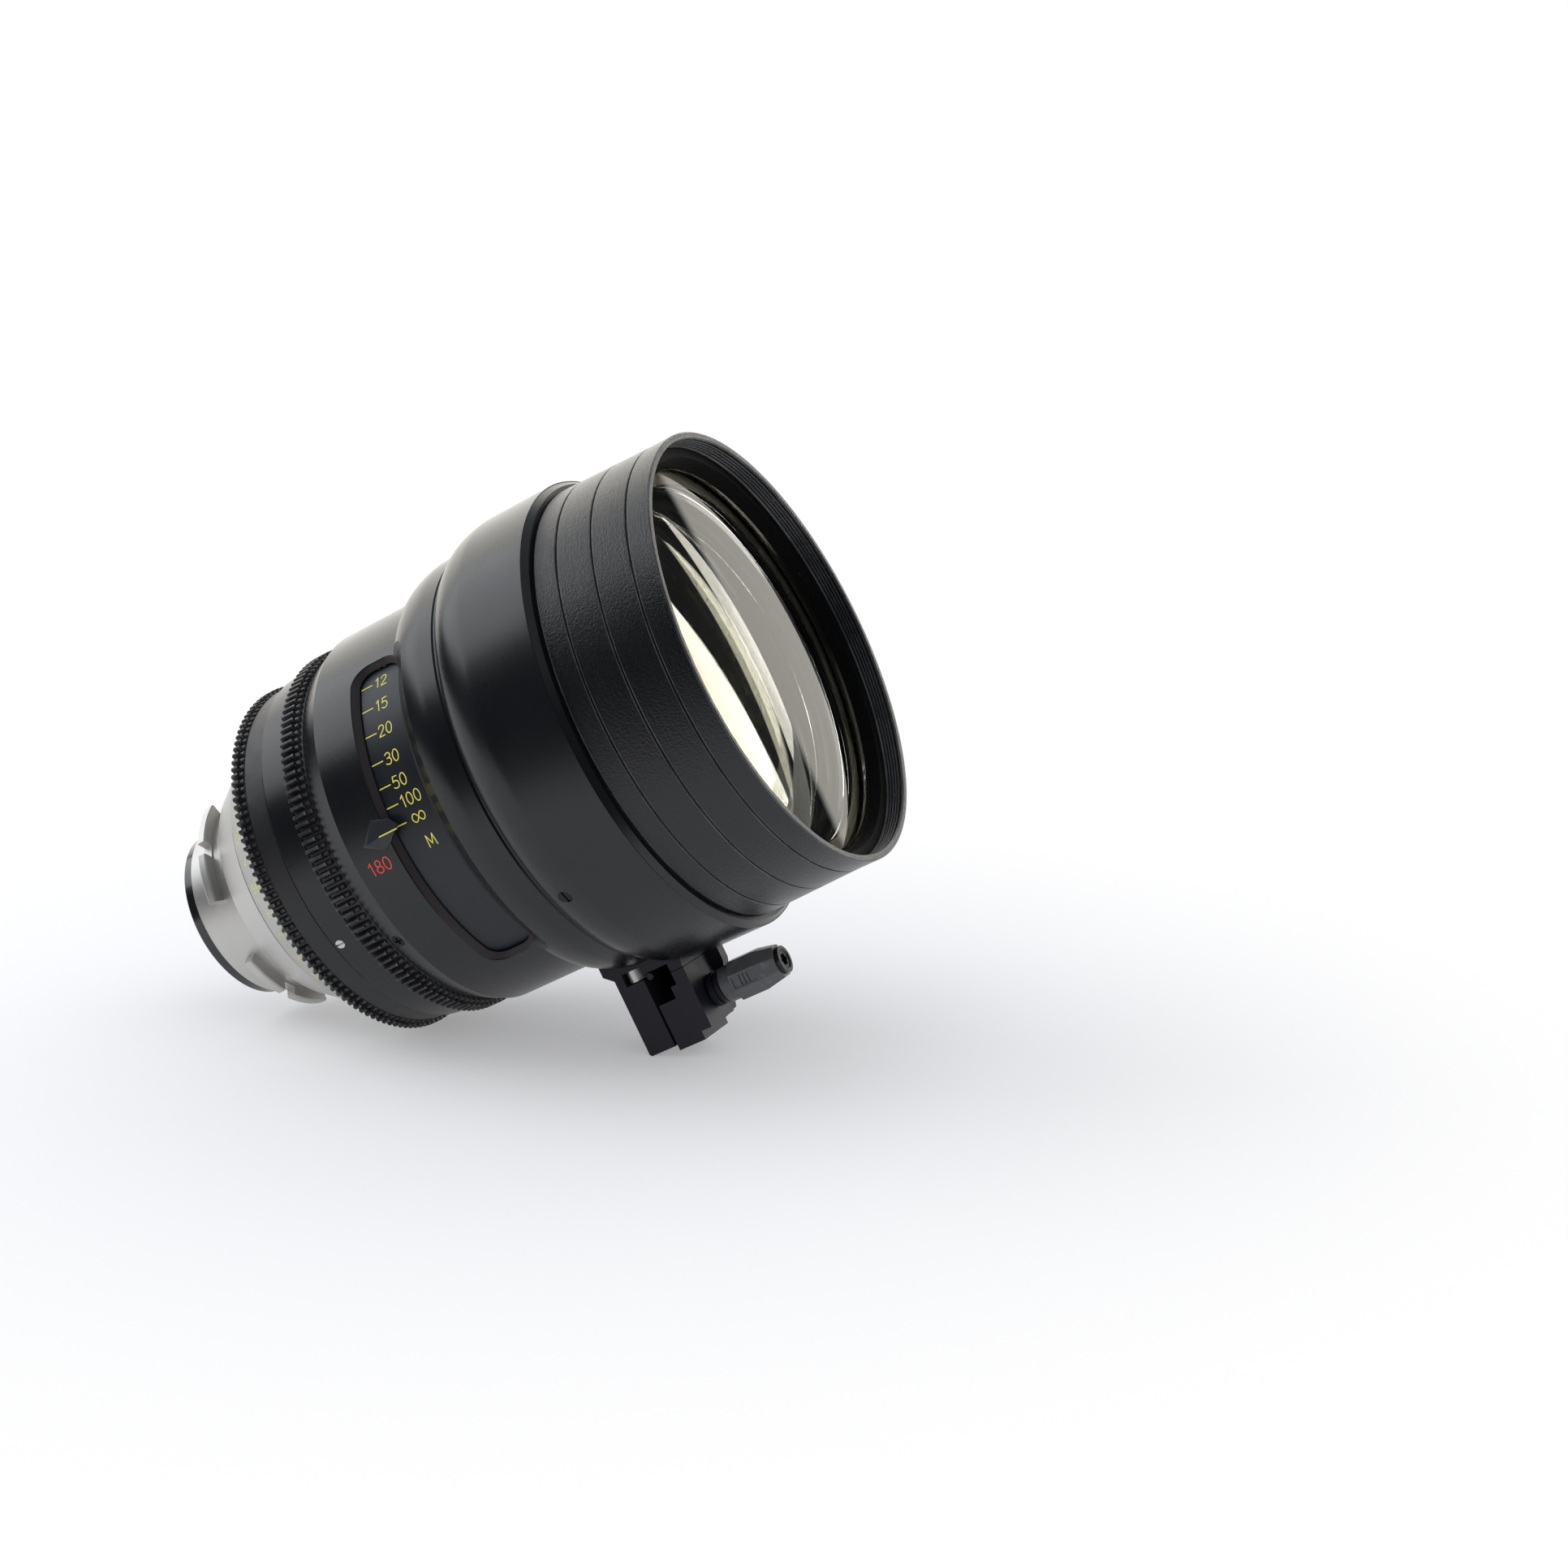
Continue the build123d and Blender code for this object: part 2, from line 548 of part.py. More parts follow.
# Bayonet mount with its lugs, undercut and cone
mount_screw_circle = (SPIGOT_RADIUS + UNDERCUT_RADIUS) / 2 + MOUNT_EDGE_CHAMFER
mount_bore_start = cone_end - CARRIER_NECK_LENGTH
with BuildPart() as pl_mount:
    mount_outline = [
        (spigot_end, spigot_bore),
        (spigot_end, SPIGOT_RADIUS - MOUNT_EDGE_CHAMFER),
        (spigot_end + MOUNT_EDGE_CHAMFER, SPIGOT_RADIUS),
        (seat, SPIGOT_RADIUS),
        (seat, UNDERCUT_RADIUS),
        (cone_start, UNDERCUT_RADIUS),
        (cone_start, mount_cone_rear_radius),
        (cone_end, mount_cone_front_radius),
        (cone_end, MOUNT_BORE_RADIUS),
        (mount_bore_start, MOUNT_BORE_RADIUS),
        (mount_bore_start, spigot_bore),
    ]
    revolve(half_section(mount_outline), axis=Axis.X)
    lug_outline = [
        (seat, SPIGOT_RADIUS),
        (seat, LUG_RADIUS - MOUNT_EDGE_CHAMFER),
        (seat + MOUNT_EDGE_CHAMFER, LUG_RADIUS),
        (undercut_start - MOUNT_EDGE_CHAMFER, LUG_RADIUS),
        (undercut_start, LUG_RADIUS - MOUNT_EDGE_CHAMFER),
        (undercut_start, SPIGOT_RADIUS),
    ]
    for angle in angles(LUG_FIRST_ANGLE - LUG_ANGLE / 2, LUG_COUNT):
        revolve(half_section(lug_outline, angle), axis=Axis.X, revolution_arc=LUG_ANGLE)
    # notches for the camera's locating pin
    for angle in angles(LUG_FIRST_ANGLE, LUG_COUNT):
        with BuildSketch(radial_plane(undercut_start / 2, LUG_RADIUS - NOTCH_DEPTH, angle)):
            Rectangle(LUG_THICKNESS + OVERRUN, NOTCH_WIDTH)
        extrude(amount=NOTCH_DEPTH + OVERRUN, mode=Mode.SUBTRACT)
    # countersunk holes for the screws into the carrier
    screw_sink = MOUNT_SCREW_HEAD_RADIUS - MOUNT_SCREW_RADIUS
    for angle in angles(MOUNT_SCREW_FIRST_ANGLE, MOUNT_SCREW_COUNT):
        with BuildSketch(axial_plane(seat, mount_screw_circle, angle)):
            Circle(MOUNT_SCREW_RADIUS + SCREW_GAP)
        extrude(amount=mount_bore_start, mode=Mode.SUBTRACT)
        with BuildSketch(axial_plane(seat, mount_screw_circle, angle)):
            Circle(MOUNT_SCREW_HEAD_RADIUS + SCREW_GAP)
        extrude(amount=screw_sink, taper=45, mode=Mode.SUBTRACT)

with BuildPart() as mount_screws:
    for angle in angles(MOUNT_SCREW_FIRST_ANGLE, MOUNT_SCREW_COUNT):
        with BuildSketch(axial_plane(seat, mount_screw_circle, angle)):
            Circle(MOUNT_SCREW_RADIUS)
        extrude(amount=mount_bore_start + MOUNT_SCREW_BITE)
        with BuildSketch(axial_plane(seat, mount_screw_circle, angle)):
            Circle(MOUNT_SCREW_HEAD_RADIUS)
        extrude(amount=screw_sink, taper=45)
        with BuildSketch(axial_plane(seat, mount_screw_circle, angle)):
            Rectangle(SCREW_SLOT_WIDTH, 2 * MOUNT_SCREW_HEAD_RADIUS)
        extrude(amount=SCREW_SLOT_DEPTH, mode=Mode.SUBTRACT)

with BuildPart() as mount_shim:
    revolve(
        tube_section(cone_end, carrier_start, MOUNT_BORE_RADIUS, CARRIER_RADIUS), axis=Axis.X
    )

# Rear glasses: the cell is loaded from behind and closed by the black ring
rear_cell_radius = spigot_bore - GLASS_GAP
rear_cell_bore = rear_cell_radius - REAR_CELL_WALL
rear_cell_end = spigot_end + REAR_CELL_LENGTH
rear_lip_start = rear_cell_end - REAR_CELL_LIP_LENGTH
rear_glass_front = spigot_end + REAR_GLASS_EDGE
rear_inner_glass_start = rear_lip_start - REAR_INNER_GLASS_EDGE
rear_glass_radius = rear_cell_bore - GLASS_GAP
with BuildPart() as rear_cell:
    rear_cell_outline = [
        (spigot_end, rear_cell_bore),
        (spigot_end, rear_cell_radius),
        (rear_cell_end, rear_cell_radius),
        (rear_cell_end, rear_cell_bore - REAR_CELL_LIP),
        (rear_lip_start, rear_cell_bore - REAR_CELL_LIP),
        (rear_lip_start, rear_cell_bore),
    ]
    revolve(half_section(rear_cell_outline), axis=Axis.X)

with BuildPart() as rear_glass:
    rear_section = glass_section(
        spigot_end, rear_glass_front, rear_glass_radius,
        REAR_GLASS_REAR_BULGE, REAR_GLASS_BULGE, GLASS_LAND,
    )
    revolve(rear_section, axis=Axis.X)

with BuildPart() as rear_spacer:
    revolve(
        tube_section(
            rear_glass_front, rear_inner_glass_start,
            rear_glass_radius - REAR_SPACER_WALL, rear_glass_radius,
        ),
        axis=Axis.X,
    )

with BuildPart() as rear_inner_glass:
    inner_section = glass_section(
        rear_inner_glass_start, rear_lip_start, rear_glass_radius,
        REAR_INNER_GLASS_REAR_BULGE, REAR_INNER_GLASS_BULGE, GLASS_LAND,
    )
    revolve(inner_section, axis=Axis.X)

# Iris: the carrier's chamber holds the blades, the drive ring and the cover
chamber_start = carrier_start + CARRIER_WALL_THICKNESS
blade_pitch = BLADE_THICKNESS + BLADE_LAYER_GAP
blade_stack_end = chamber_start + BLADE_COUNT * blade_pitch
drive_ring_start = blade_stack_end + BLADE_LAYER_GAP
drive_ring_end = drive_ring_start + DRIVE_RING_THICKNESS
drive_ring_middle = (drive_ring_start + drive_ring_end) / 2
iris_cover_start = drive_ring_end + BLADE_LAYER_GAP
blade_outer_radius = BLADE_INNER_RADIUS + BLADE_WIDTH
blade_pivot_circle = blade_outer_radius + BLADE_PIVOT_OUTSET
drive_pin_slot = DRIVE_PIN_RADIUS + 2 * BLADE_LAYER_GAP
drive_pin_margin = 2 * math.degrees(drive_pin_slot / CARRIER_RADIUS)
with BuildPart() as iris_carrier:
    neck_radius = MOUNT_BORE_RADIUS - RUNNING_GAP
    carrier_outline = [
        (mount_bore_start, BLADE_INNER_RADIUS),
        (mount_bore_start, neck_radius),
        (carrier_start, neck_radius),
        (carrier_start, CARRIER_RADIUS + CARRIER_COLLAR_RISE),
        (collar_end, CARRIER_RADIUS + CARRIER_COLLAR_RISE),
        (collar_end, CARRIER_RADIUS),
        (carrier_end, CARRIER_RADIUS),
        (carrier_end, carrier_bore),
        (chamber_start, carrier_bore),
        (chamber_start, BLADE_INNER_RADIUS),
    ]
    revolve(half_section(carrier_outline), axis=Axis.X)
    # slot that the drive pin sweeps through
    slot_section = tube_section(
        drive_ring_middle - drive_pin_slot, drive_ring_middle + drive_pin_slot,
        carrier_bore - OVERRUN, CARRIER_RADIUS + OVERRUN, DRIVE_PIN_ANGLE - drive_pin_margin,
    )
    revolve(
        slot_section, axis=Axis.X,
        revolution_arc=IRIS_TRAVEL + 2 * drive_pin_margin, mode=Mode.SUBTRACT,
    )
    # tapped holes for the mount's screws
    for angle in angles(MOUNT_SCREW_FIRST_ANGLE, MOUNT_SCREW_COUNT):
        with BuildSketch(axial_plane(mount_bore_start, mount_screw_circle, angle)):
            Circle(MOUNT_SCREW_RADIUS)
        extrude(amount=MOUNT_SCREW_BITE, mode=Mode.SUBTRACT)
    # pivots of the blades
    for index, angle in enumerate(angles(BLADE_START_ANGLE, BLADE_COUNT)):
        with BuildSketch(axial_plane(chamber_start, blade_pivot_circle, angle)):
            Circle(BLADE_PIVOT_RADIUS)
        extrude(amount=(index + 1) * blade_pitch)

iris_blades = []
for index, angle in enumerate(angles(BLADE_START_ANGLE, BLADE_COUNT)):
    layer = chamber_start + BLADE_LAYER_GAP + index * blade_pitch
    with BuildPart() as blade:
        revolve(
            tube_section(
                layer, layer + BLADE_THICKNESS, BLADE_INNER_RADIUS, blade_outer_radius, angle
            ),
            axis=Axis.X, revolution_arc=BLADE_ARC,
        )
        with BuildSketch(axial_plane(layer, blade_pivot_circle, angle)):
            Circle(BLADE_EAR_RADIUS)
        extrude(amount=BLADE_THICKNESS)
        with BuildSketch(axial_plane(layer, blade_pivot_circle, angle)):
            Circle(BLADE_PIVOT_RADIUS + RUNNING_GAP)
        extrude(amount=BLADE_THICKNESS, mode=Mode.SUBTRACT)
    iris_blades.append(blade)

drive_ring_radius = carrier_bore - RUNNING_GAP
with BuildPart() as iris_drive_ring:
    revolve(
        tube_section(
            drive_ring_start, drive_ring_end,
            drive_ring_radius - DRIVE_RING_WIDTH, drive_ring_radius,
        ),
        axis=Axis.X,
    )
    with BuildSketch(
        radial_plane(drive_ring_middle, drive_ring_radius - DRIVE_PIN_BITE, DRIVE_PIN_ANGLE)
    ):
        Circle(DRIVE_PIN_RADIUS)
    extrude(amount=DRIVE_PIN_BITE + OVERRUN, mode=Mode.SUBTRACT)

drive_pin_length = DRIVE_PIN_BITE + CARRIER_WALL + 2 * RUNNING_GAP + DRIVE_PIN_BITE
with BuildPart() as iris_drive_pin:
    with BuildSketch(
        radial_plane(drive_ring_middle, drive_ring_radius - DRIVE_PIN_BITE, DRIVE_PIN_ANGLE)
    ):
        Circle(DRIVE_PIN_RADIUS)
    extrude(amount=drive_pin_length)

with BuildPart() as iris_cover:
    revolve(
        tube_section(
            iris_cover_start, iris_cover_start + IRIS_COVER_THICKNESS,
            BLADE_INNER_RADIUS, carrier_bore,
        ),
        axis=Axis.X,
    )

# Iris scale ring, screwed to the back of the iris gear ring
with BuildPart() as iris_scale_ring:
    scale_ring_outline = [
        (scale_ring_start, ring_bore),
        (scale_ring_start, scale_ring_rear_radius),
        (scale_ring_end, scale_ring_front_radius),
        (scale_ring_end, scale_ring_front_radius - SCALE_RING_FLANGE_DROP),
        (iris_ring_start, scale_ring_front_radius - SCALE_RING_FLANGE_DROP),
        (iris_ring_start, ring_bore),
    ]
    revolve(half_section(scale_ring_outline), axis=Axis.X)
    with BuildSketch(radial_plane(drive_ring_middle, ring_bore - OVERRUN, DRIVE_PIN_ANGLE)):
        Circle(DRIVE_PIN_RADIUS)
    extrude(amount=DRIVE_PIN_BITE + OVERRUN, mode=Mode.SUBTRACT)

# Iris gear ring: full teeth, a lower land beside them, and a smooth hub
iris_step_start = iris_ring_start + IRIS_TEETH_LENGTH
iris_hub_start = iris_step_start + IRIS_STEP_LENGTH
iris_module = 2 * iris_pitch_radius / IRIS_TEETH
iris_step_radius = iris_pitch_radius + iris_module - TOOTH_STEP_DROP
ring_hub_radius = ring_bore + RING_HUB_WALL
ring_rim_bore = iris_hub_radius - RING_RIM_WALL
ring_web_end = iris_ring_start + RING_WEB
with BuildPart() as iris_ring:
    extrude(
        gear_section(iris_ring_start, IRIS_TEETH, iris_pitch_radius),
        amount=IRIS_TEETH_LENGTH + IRIS_STEP_LENGTH,
    )
    step_cut = tube_section(
        iris_step_start, iris_hub_start, iris_step_radius, iris_pitch_radius + OVERRUN
    )
    revolve(step_cut, axis=Axis.X, mode=Mode.SUBTRACT)
    bore_cut = tube_section(iris_ring_start, iris_hub_start, 0, ring_rim_bore)
    revolve(bore_cut, axis=Axis.X, mode=Mode.SUBTRACT)
    iris_ring_outline = [
        (iris_ring_start, ring_bore),
        (iris_ring_end, ring_bore),
        (iris_ring_end, ring_hub_radius),
        (ring_web_end, ring_hub_radius),
        (ring_web_end, ring_rim_bore),
        (iris_ring_end, ring_rim_bore),
        (iris_ring_end, iris_hub_radius),
        (iris_hub_start, iris_hub_radius),
        (iris_hub_start, ring_rim_bore + RING_RIM_WALL / 2),
        (iris_ring_start, ring_rim_bore + RING_RIM_WALL / 2),
    ]
    revolve(half_section(iris_ring_outline), axis=Axis.X)

# Fixed band between the two gear rings
band_screw_station = band_start + BAND_WEB / 2
with BuildPart() as rear_band:
    band_outline = [
        (band_start, carrier_bore),
        (band_start, band_radius - BAND_CHAMFER),
        (band_start + BAND_CHAMFER, band_radius),
        (band_end - BAND_CHAMFER, band_radius),
        (band_end, band_radius - BAND_CHAMFER),
        (band_end, TUBE_RADIUS),
        (tube_start, TUBE_RADIUS),
        (tube_start, carrier_bore),
    ]
    revolve(half_section(band_outline), axis=Axis.X)
    for angle in angles(BAND_SCREW_ANGLE, BAND_SCREW_COUNT):
        with BuildSketch(
            radial_plane(band_screw_station, band_radius - BAND_SCREW_DEPTH, angle)
        ):
            Circle(BAND_SCREW_RADIUS)
        extrude(amount=BAND_SCREW_DEPTH + OVERRUN, mode=Mode.SUBTRACT)

with BuildPart() as rear_band_screws:
    for angle in angles(BAND_SCREW_ANGLE, BAND_SCREW_COUNT):
        place = radial_plane(band_screw_station, band_radius - BAND_SCREW_DEPTH, angle)
        with BuildSketch(place):
            Circle(BAND_SCREW_RADIUS)
        extrude(amount=BAND_SCREW_DEPTH - SEAT_GAP)
        with BuildSketch(place.offset(BAND_SCREW_DEPTH - SEAT_GAP)):
            Rectangle(2 * BAND_SCREW_RADIUS, SCREW_SLOT_WIDTH)
        extrude(amount=-SCREW_SLOT_DEPTH, mode=Mode.SUBTRACT)

# Guide tube, the fixed spine that carries the focusing group and the barrel
cell_start = tube_start + CELL_REAR
cell_end = cell_start + CELL_LENGTH
roller_station = cell_start + ROLLER_STATION
with BuildPart() as guide_tube:
    tube_outline = [
        (tube_start, tube_bore),
        (tube_start, TUBE_RADIUS),
        (tube_flange_start, TUBE_RADIUS),
        (tube_flange_start, front_bore),
        (tube_end, front_bore),
        (tube_end, tube_bore),
    ]
    revolve(half_section(tube_outline), axis=Axis.X)
    # straight slots that the cell's rollers slide in
    for angle in angles(GUIDE_FIRST_ANGLE, GUIDE_SLOT_COUNT):
        with BuildSketch(
            radial_plane(roller_station + FOCUS_SHIFT / 2, tube_bore - OVERRUN, angle)
        ):
            SlotCenterToCenter(FOCUS_SHIFT, 2 * ROLLER_RADIUS + ROLLER_GAP)
        extrude(amount=TUBE_WALL + 2 * OVERRUN, mode=Mode.SUBTRACT)

# Focus gear ring
focus_module = 2 * focus_pitch_radius / FOCUS_TEETH
focus_step_radius = focus_pitch_radius + focus_module - TOOTH_STEP_DROP
focus_flange_radius = focus_pitch_radius - tooth_depth_share * focus_module
focus_ring_bore = TUBE_RADIUS + RUNNING_GAP
with BuildPart() as focus_ring:
    extrude(
        gear_section(focus_ring_start, FOCUS_TEETH, focus_pitch_radius),
        amount=FOCUS_TEETH_LENGTH + FOCUS_STEP_LENGTH,
    )
    step_cut = tube_section(
        focus_step_start, focus_flange_start, focus_step_radius, focus_pitch_radius + OVERRUN
    )
    revolve(step_cut, axis=Axis.X, mode=Mode.SUBTRACT)
    revolve(
        tube_section(focus_flange_start, focus_ring_end, focus_ring_bore, focus_flange_radius),
        axis=Axis.X,
    )
    revolve(
        tube_section(focus_ring_start, focus_ring_end, 0, focus_ring_bore),
        axis=Axis.X, mode=Mode.SUBTRACT,
    )

# Focus sleeve with its helical grooves, three starts that each climb by the group's shift
with BuildPart() as focus_sleeve:
    sleeve_outline = [
        (focus_ring_end, sleeve_bore),
        (focus_ring_end, sleeve_neck_radius),
        (sleeve_step, sleeve_neck_radius),
        (sleeve_step, sleeve_radius),
        (sleeve_end, sleeve_radius),
        (sleeve_end, sleeve_bore),
    ]
    revolve(half_section(sleeve_outline), axis=Axis.X)
    cam_circle = sleeve_bore + CAM_RISE
    for angle in angles(GUIDE_FIRST_ANGLE, GUIDE_SLOT_COUNT):
        with BuildLine(mode=Mode.PRIVATE) as groove_line:
            Helix(
                pitch=FOCUS_SHIFT * 360 / FOCUS_TRAVEL, height=FOCUS_SHIFT,
                radius=cam_circle, lefthand=True,
            )
        groove = axial_plane(roller_station, 0, angle).from_local_coords(groove_line.line)
        with BuildSketch(Plane(origin=groove @ 0, z_dir=groove % 0)):
            Circle(CAM_RADIUS)
        sweep(path=groove, is_frenet=True, mode=Mode.SUBTRACT)
        with Locations(groove @ 0, groove @ 1):
            Sphere(CAM_RADIUS, mode=Mode.SUBTRACT)

# Main barrel with a window on each side
shoulder_bore_share = 0.55
window_rear = barrel_start + WINDOW_REAR
window_middle = window_rear + WINDOW_WIDTH / 2
window_rise = BARREL_WALL + SHOULDER_1_RISE
shoulder_1 = rounded_shoulder(
    shoulder_1_start, SHOULDER_1_LENGTH, barrel_radius, band_1_radius
)
with BuildPart() as main_barrel:
    bore_step = shoulder_1_start + shoulder_bore_share * SHOULDER_1_LENGTH
    barrel_outline = [
        (barrel_end - SEAM_GROOVE, band_1_radius),
        (barrel_end, band_1_radius - SEAM_GROOVE),
        (barrel_end, front_bore),
        (bore_step, front_bore),
        (bore_step, barrel_bore),
        (lip_end, barrel_bore),
        (lip_end, lip_bore),
        (barrel_start, lip_bore),
        (barrel_start, barrel_rear_radius),
        (barrel_start + BARREL_REAR_CHAMFER_LENGTH, barrel_radius),
    ]
    revolve(half_section(barrel_outline, shoulder=shoulder_1), axis=Axis.X)
    # each window is a sector with sloping edges, closed at both ends by a rounded pad
    spread = window_rise * math.tan(math.radians(WINDOW_SLOPE))
    pad_half_angle = math.degrees(WINDOW_PAD_LENGTH / 2 / barrel_bore)
    for side in (-1, 1):
        middle = side * WINDOW_MIDDLE_ANGLE
        first = middle - WINDOW_ANGLE / 2 + pad_half_angle
        last = middle + WINDOW_ANGLE / 2 - pad_half_angle
        window_outline = [
            (window_rear, barrel_bore - BARREL_GAP / 2),
            (window_rear, barrel_bore),
            (window_rear - spread, barrel_bore + window_rise),
            (window_rear + WINDOW_WIDTH + spread, barrel_bore + window_rise),
            (window_rear + WINDOW_WIDTH, barrel_bore),
            (window_rear + WINDOW_WIDTH, barrel_bore - BARREL_GAP / 2),
        ]
        revolve(
            half_section(window_outline, first),
            axis=Axis.X, revolution_arc=last - first, mode=Mode.SUBTRACT,
        )
        for angle in (first, last):
            pad = radial_plane(window_middle, barrel_bore, angle)
            with BuildSketch(pad.offset(-BARREL_GAP / 2)):
                RectangleRounded(WINDOW_WIDTH, WINDOW_PAD_LENGTH, WINDOW_CORNER)
            extrude(amount=BARREL_GAP / 2, mode=Mode.SUBTRACT)
            with BuildSketch(pad):
                RectangleRounded(WINDOW_WIDTH, WINDOW_PAD_LENGTH, WINDOW_CORNER)
            extrude(amount=window_rise, taper=-WINDOW_SLOPE, mode=Mode.SUBTRACT)
    # seats of the cross-head screws
    barrel_screw_station = barrel_start + BARREL_REAR_CHAMFER_LENGTH / 2
    barrel_screw_face = barrel_radius - BARREL_REAR_CHAMFER_DROP / 2
    for angle in angles(BARREL_SCREW_ANGLE, BARREL_SCREW_COUNT):
        place = radial_plane(barrel_screw_station, barrel_screw_face, angle)
        with BuildSketch(place.offset(-BARREL_SCREW_HEAD_HEIGHT)):
            Circle(BARREL_SCREW_HEAD_RADIUS + SCREW_GAP)
        extrude(amount=BARREL_SCREW_HEAD_HEIGHT + OVERRUN, mode=Mode.SUBTRACT)
        with BuildSketch(place.offset(-BARREL_SCREW_DEPTH)):
            Circle(BARREL_SCREW_SHANK_RADIUS + SCREW_GAP)
        extrude(amount=BARREL_SCREW_DEPTH, mode=Mode.SUBTRACT)

with BuildPart() as barrel_screws:
    for angle in angles(BARREL_SCREW_ANGLE, BARREL_SCREW_COUNT):
        place = radial_plane(barrel_screw_station, barrel_screw_face, angle)
        with BuildSketch(place.offset(-BARREL_SCREW_HEAD_HEIGHT)):
            Circle(BARREL_SCREW_HEAD_RADIUS)
        extrude(amount=BARREL_SCREW_HEAD_HEIGHT)
        with BuildSketch(place.offset(-BARREL_SCREW_DEPTH)):
            Circle(BARREL_SCREW_SHANK_RADIUS)
        extrude(amount=BARREL_SCREW_DEPTH - BARREL_SCREW_HEAD_HEIGHT)
        with BuildSketch(place):
            Rectangle(CROSS_ARM_LENGTH, CROSS_ARM_WIDTH)
            Rectangle(CROSS_ARM_WIDTH, CROSS_ARM_LENGTH)
        extrude(amount=-CROSS_DEPTH, mode=Mode.SUBTRACT)

with BuildPart() as glide_ring:
    revolve(
        tube_section(
            barrel_start + END_GAP, barrel_start + END_GAP + GLIDE_RING_LENGTH,
            glide_ring_bore, lip_bore,
        ),
        axis=Axis.X,
    )
    for angle in angles(BARREL_SCREW_ANGLE, BARREL_SCREW_COUNT):
        place = radial_plane(barrel_screw_station, barrel_screw_face, angle)
        with BuildSketch(place.offset(-BARREL_SCREW_DEPTH)):
            Circle(BARREL_SCREW_SHANK_RADIUS)
        extrude(amount=BARREL_SCREW_DEPTH, mode=Mode.SUBTRACT)

# Index wedge beside the window
with BuildPart() as index_wedge:
    wedge_place = radial_plane(barrel_start + WEDGE_REAR, barrel_radius, WEDGE_ANGLE)
    with BuildSketch(wedge_place.offset(-WEDGE_HEIGHT)):
        with BuildLine():
            wedge = [(x * WEDGE_LENGTH, y * WEDGE_WIDTH) for x, y in wedge_shares]
            Polyline(*wedge, close=True)
        make_face()
    extrude(amount=2 * WEDGE_HEIGHT)
    top_face = faces().sort_by(Axis((0, 0, 0), wedge_place.z_dir))[-1]
    chamfer(top_face.edges(), length=WEDGE_CHAMFER)
    barrel_round = tube_section(barrel_start, barrel_end, 0, barrel_radius)
    revolve(barrel_round, axis=Axis.X, mode=Mode.SUBTRACT)

# Front housing, from the seam to the matte lip
shoulder_2 = rounded_shoulder(
    housing_start + 2 * SEAM_GROOVE, SHOULDER_2_LENGTH, band_1_radius, housing_radius
)
housing_screw_station = housing_start + HOUSING_SCREW_STATION
housing_screw_face = shoulder_2[3][1]
with BuildPart() as front_housing:
    housing_outline = [
        (housing_lip_start, housing_radius),
        (housing_lip_start, housing_radius - HOUSING_LIP_STEP),
        (housing_end, housing_radius - HOUSING_LIP_DROP),
        (housing_end, housing_bore),
        (shoulder_2_end, housing_bore),
        (tube_end, front_bore),
        (housing_start, front_bore),
        (housing_start, band_1_radius - SEAM_GROOVE),
        (housing_start + SEAM_GROOVE, band_1_radius),
    ]
    revolve(half_section(housing_outline, shoulder=shoulder_2), axis=Axis.X)
    for angle in angles(HOUSING_SCREW_ANGLE, HOUSING_SCREW_COUNT):
        place = radial_plane(housing_screw_station, housing_screw_face, angle)
        with BuildSketch(place.offset(-HOUSING_SCREW_DEPTH)):
            Circle(HOUSING_SCREW_RADIUS)
        extrude(amount=HOUSING_SCREW_DEPTH + OVERRUN, mode=Mode.SUBTRACT)

with BuildPart() as housing_screws:
    for angle in angles(HOUSING_SCREW_ANGLE, HOUSING_SCREW_COUNT):
        place = radial_plane(housing_screw_station, housing_screw_face, angle)
        with BuildSketch(place.offset(-HOUSING_SCREW_DEPTH)):
            Circle(HOUSING_SCREW_RADIUS)
        extrude(amount=HOUSING_SCREW_DEPTH - SCREW_SLOT_DEPTH)
        with BuildSketch(place.offset(-SCREW_SLOT_DEPTH)):
            Rectangle(SCREW_SLOT_WIDTH, 2 * HOUSING_SCREW_RADIUS)
        extrude(amount=-SCREW_SLOT_DEPTH, mode=Mode.SUBTRACT)

# Front hood with its fine grooves and the filter thread
hood_tail_start = housing_end - HOOD_TAIL_LENGTH
with BuildPart() as front_hood:
    rim = HOOD_EDGE_CHAMFER
    hood_outline = [
        (hood_tail_start, hood_bore),
        (hood_tail_start, hood_tail_radius),
        (hood_start, hood_tail_radius),
        (hood_start, hood_rear_radius - rim),
        (hood_start + rim, hood_rear_radius),
        (nose_start, hood_radius),
        (hood_end - rim, hood_radius),
        (hood_end, hood_radius - rim),
        (hood_end, hood_bore + 2 * rim),
        (hood_end - 2 * rim, hood_bore),
    ]
    revolve(half_section(hood_outline), axis=Axis.X)
    for index in range(HOOD_GROOVE_COUNT):
        groove_front = nose_start - index * HOOD_GROOVE_PITCH
        back_share = (nose_start - groove_front) / (nose_start - hood_start)
        skin_radius = hood_radius + back_share * HOOD_TAPER
        groove_section = tube_section(
            groove_front - HOOD_GROOVE_WIDTH, groove_front,
            skin_radius - HOOD_GROOVE_DEPTH, skin_radius + OVERRUN,
        )
        revolve(groove_section, axis=Axis.X, mode=Mode.SUBTRACT)
    for index in range(FILTER_THREAD_COUNT):
        crest = hood_end - FILTER_THREAD_START - index * FILTER_THREAD_PITCH
        thread_section = half_section(
            [
                (crest, hood_bore - SEAT_GAP),
                (crest - FILTER_THREAD_PITCH / 2, hood_bore + FILTER_THREAD_DEPTH),
                (crest - filter_groove_share * FILTER_THREAD_PITCH, hood_bore - SEAT_GAP),
            ]
        )
        revolve(thread_section, axis=Axis.X, mode=Mode.SUBTRACT)

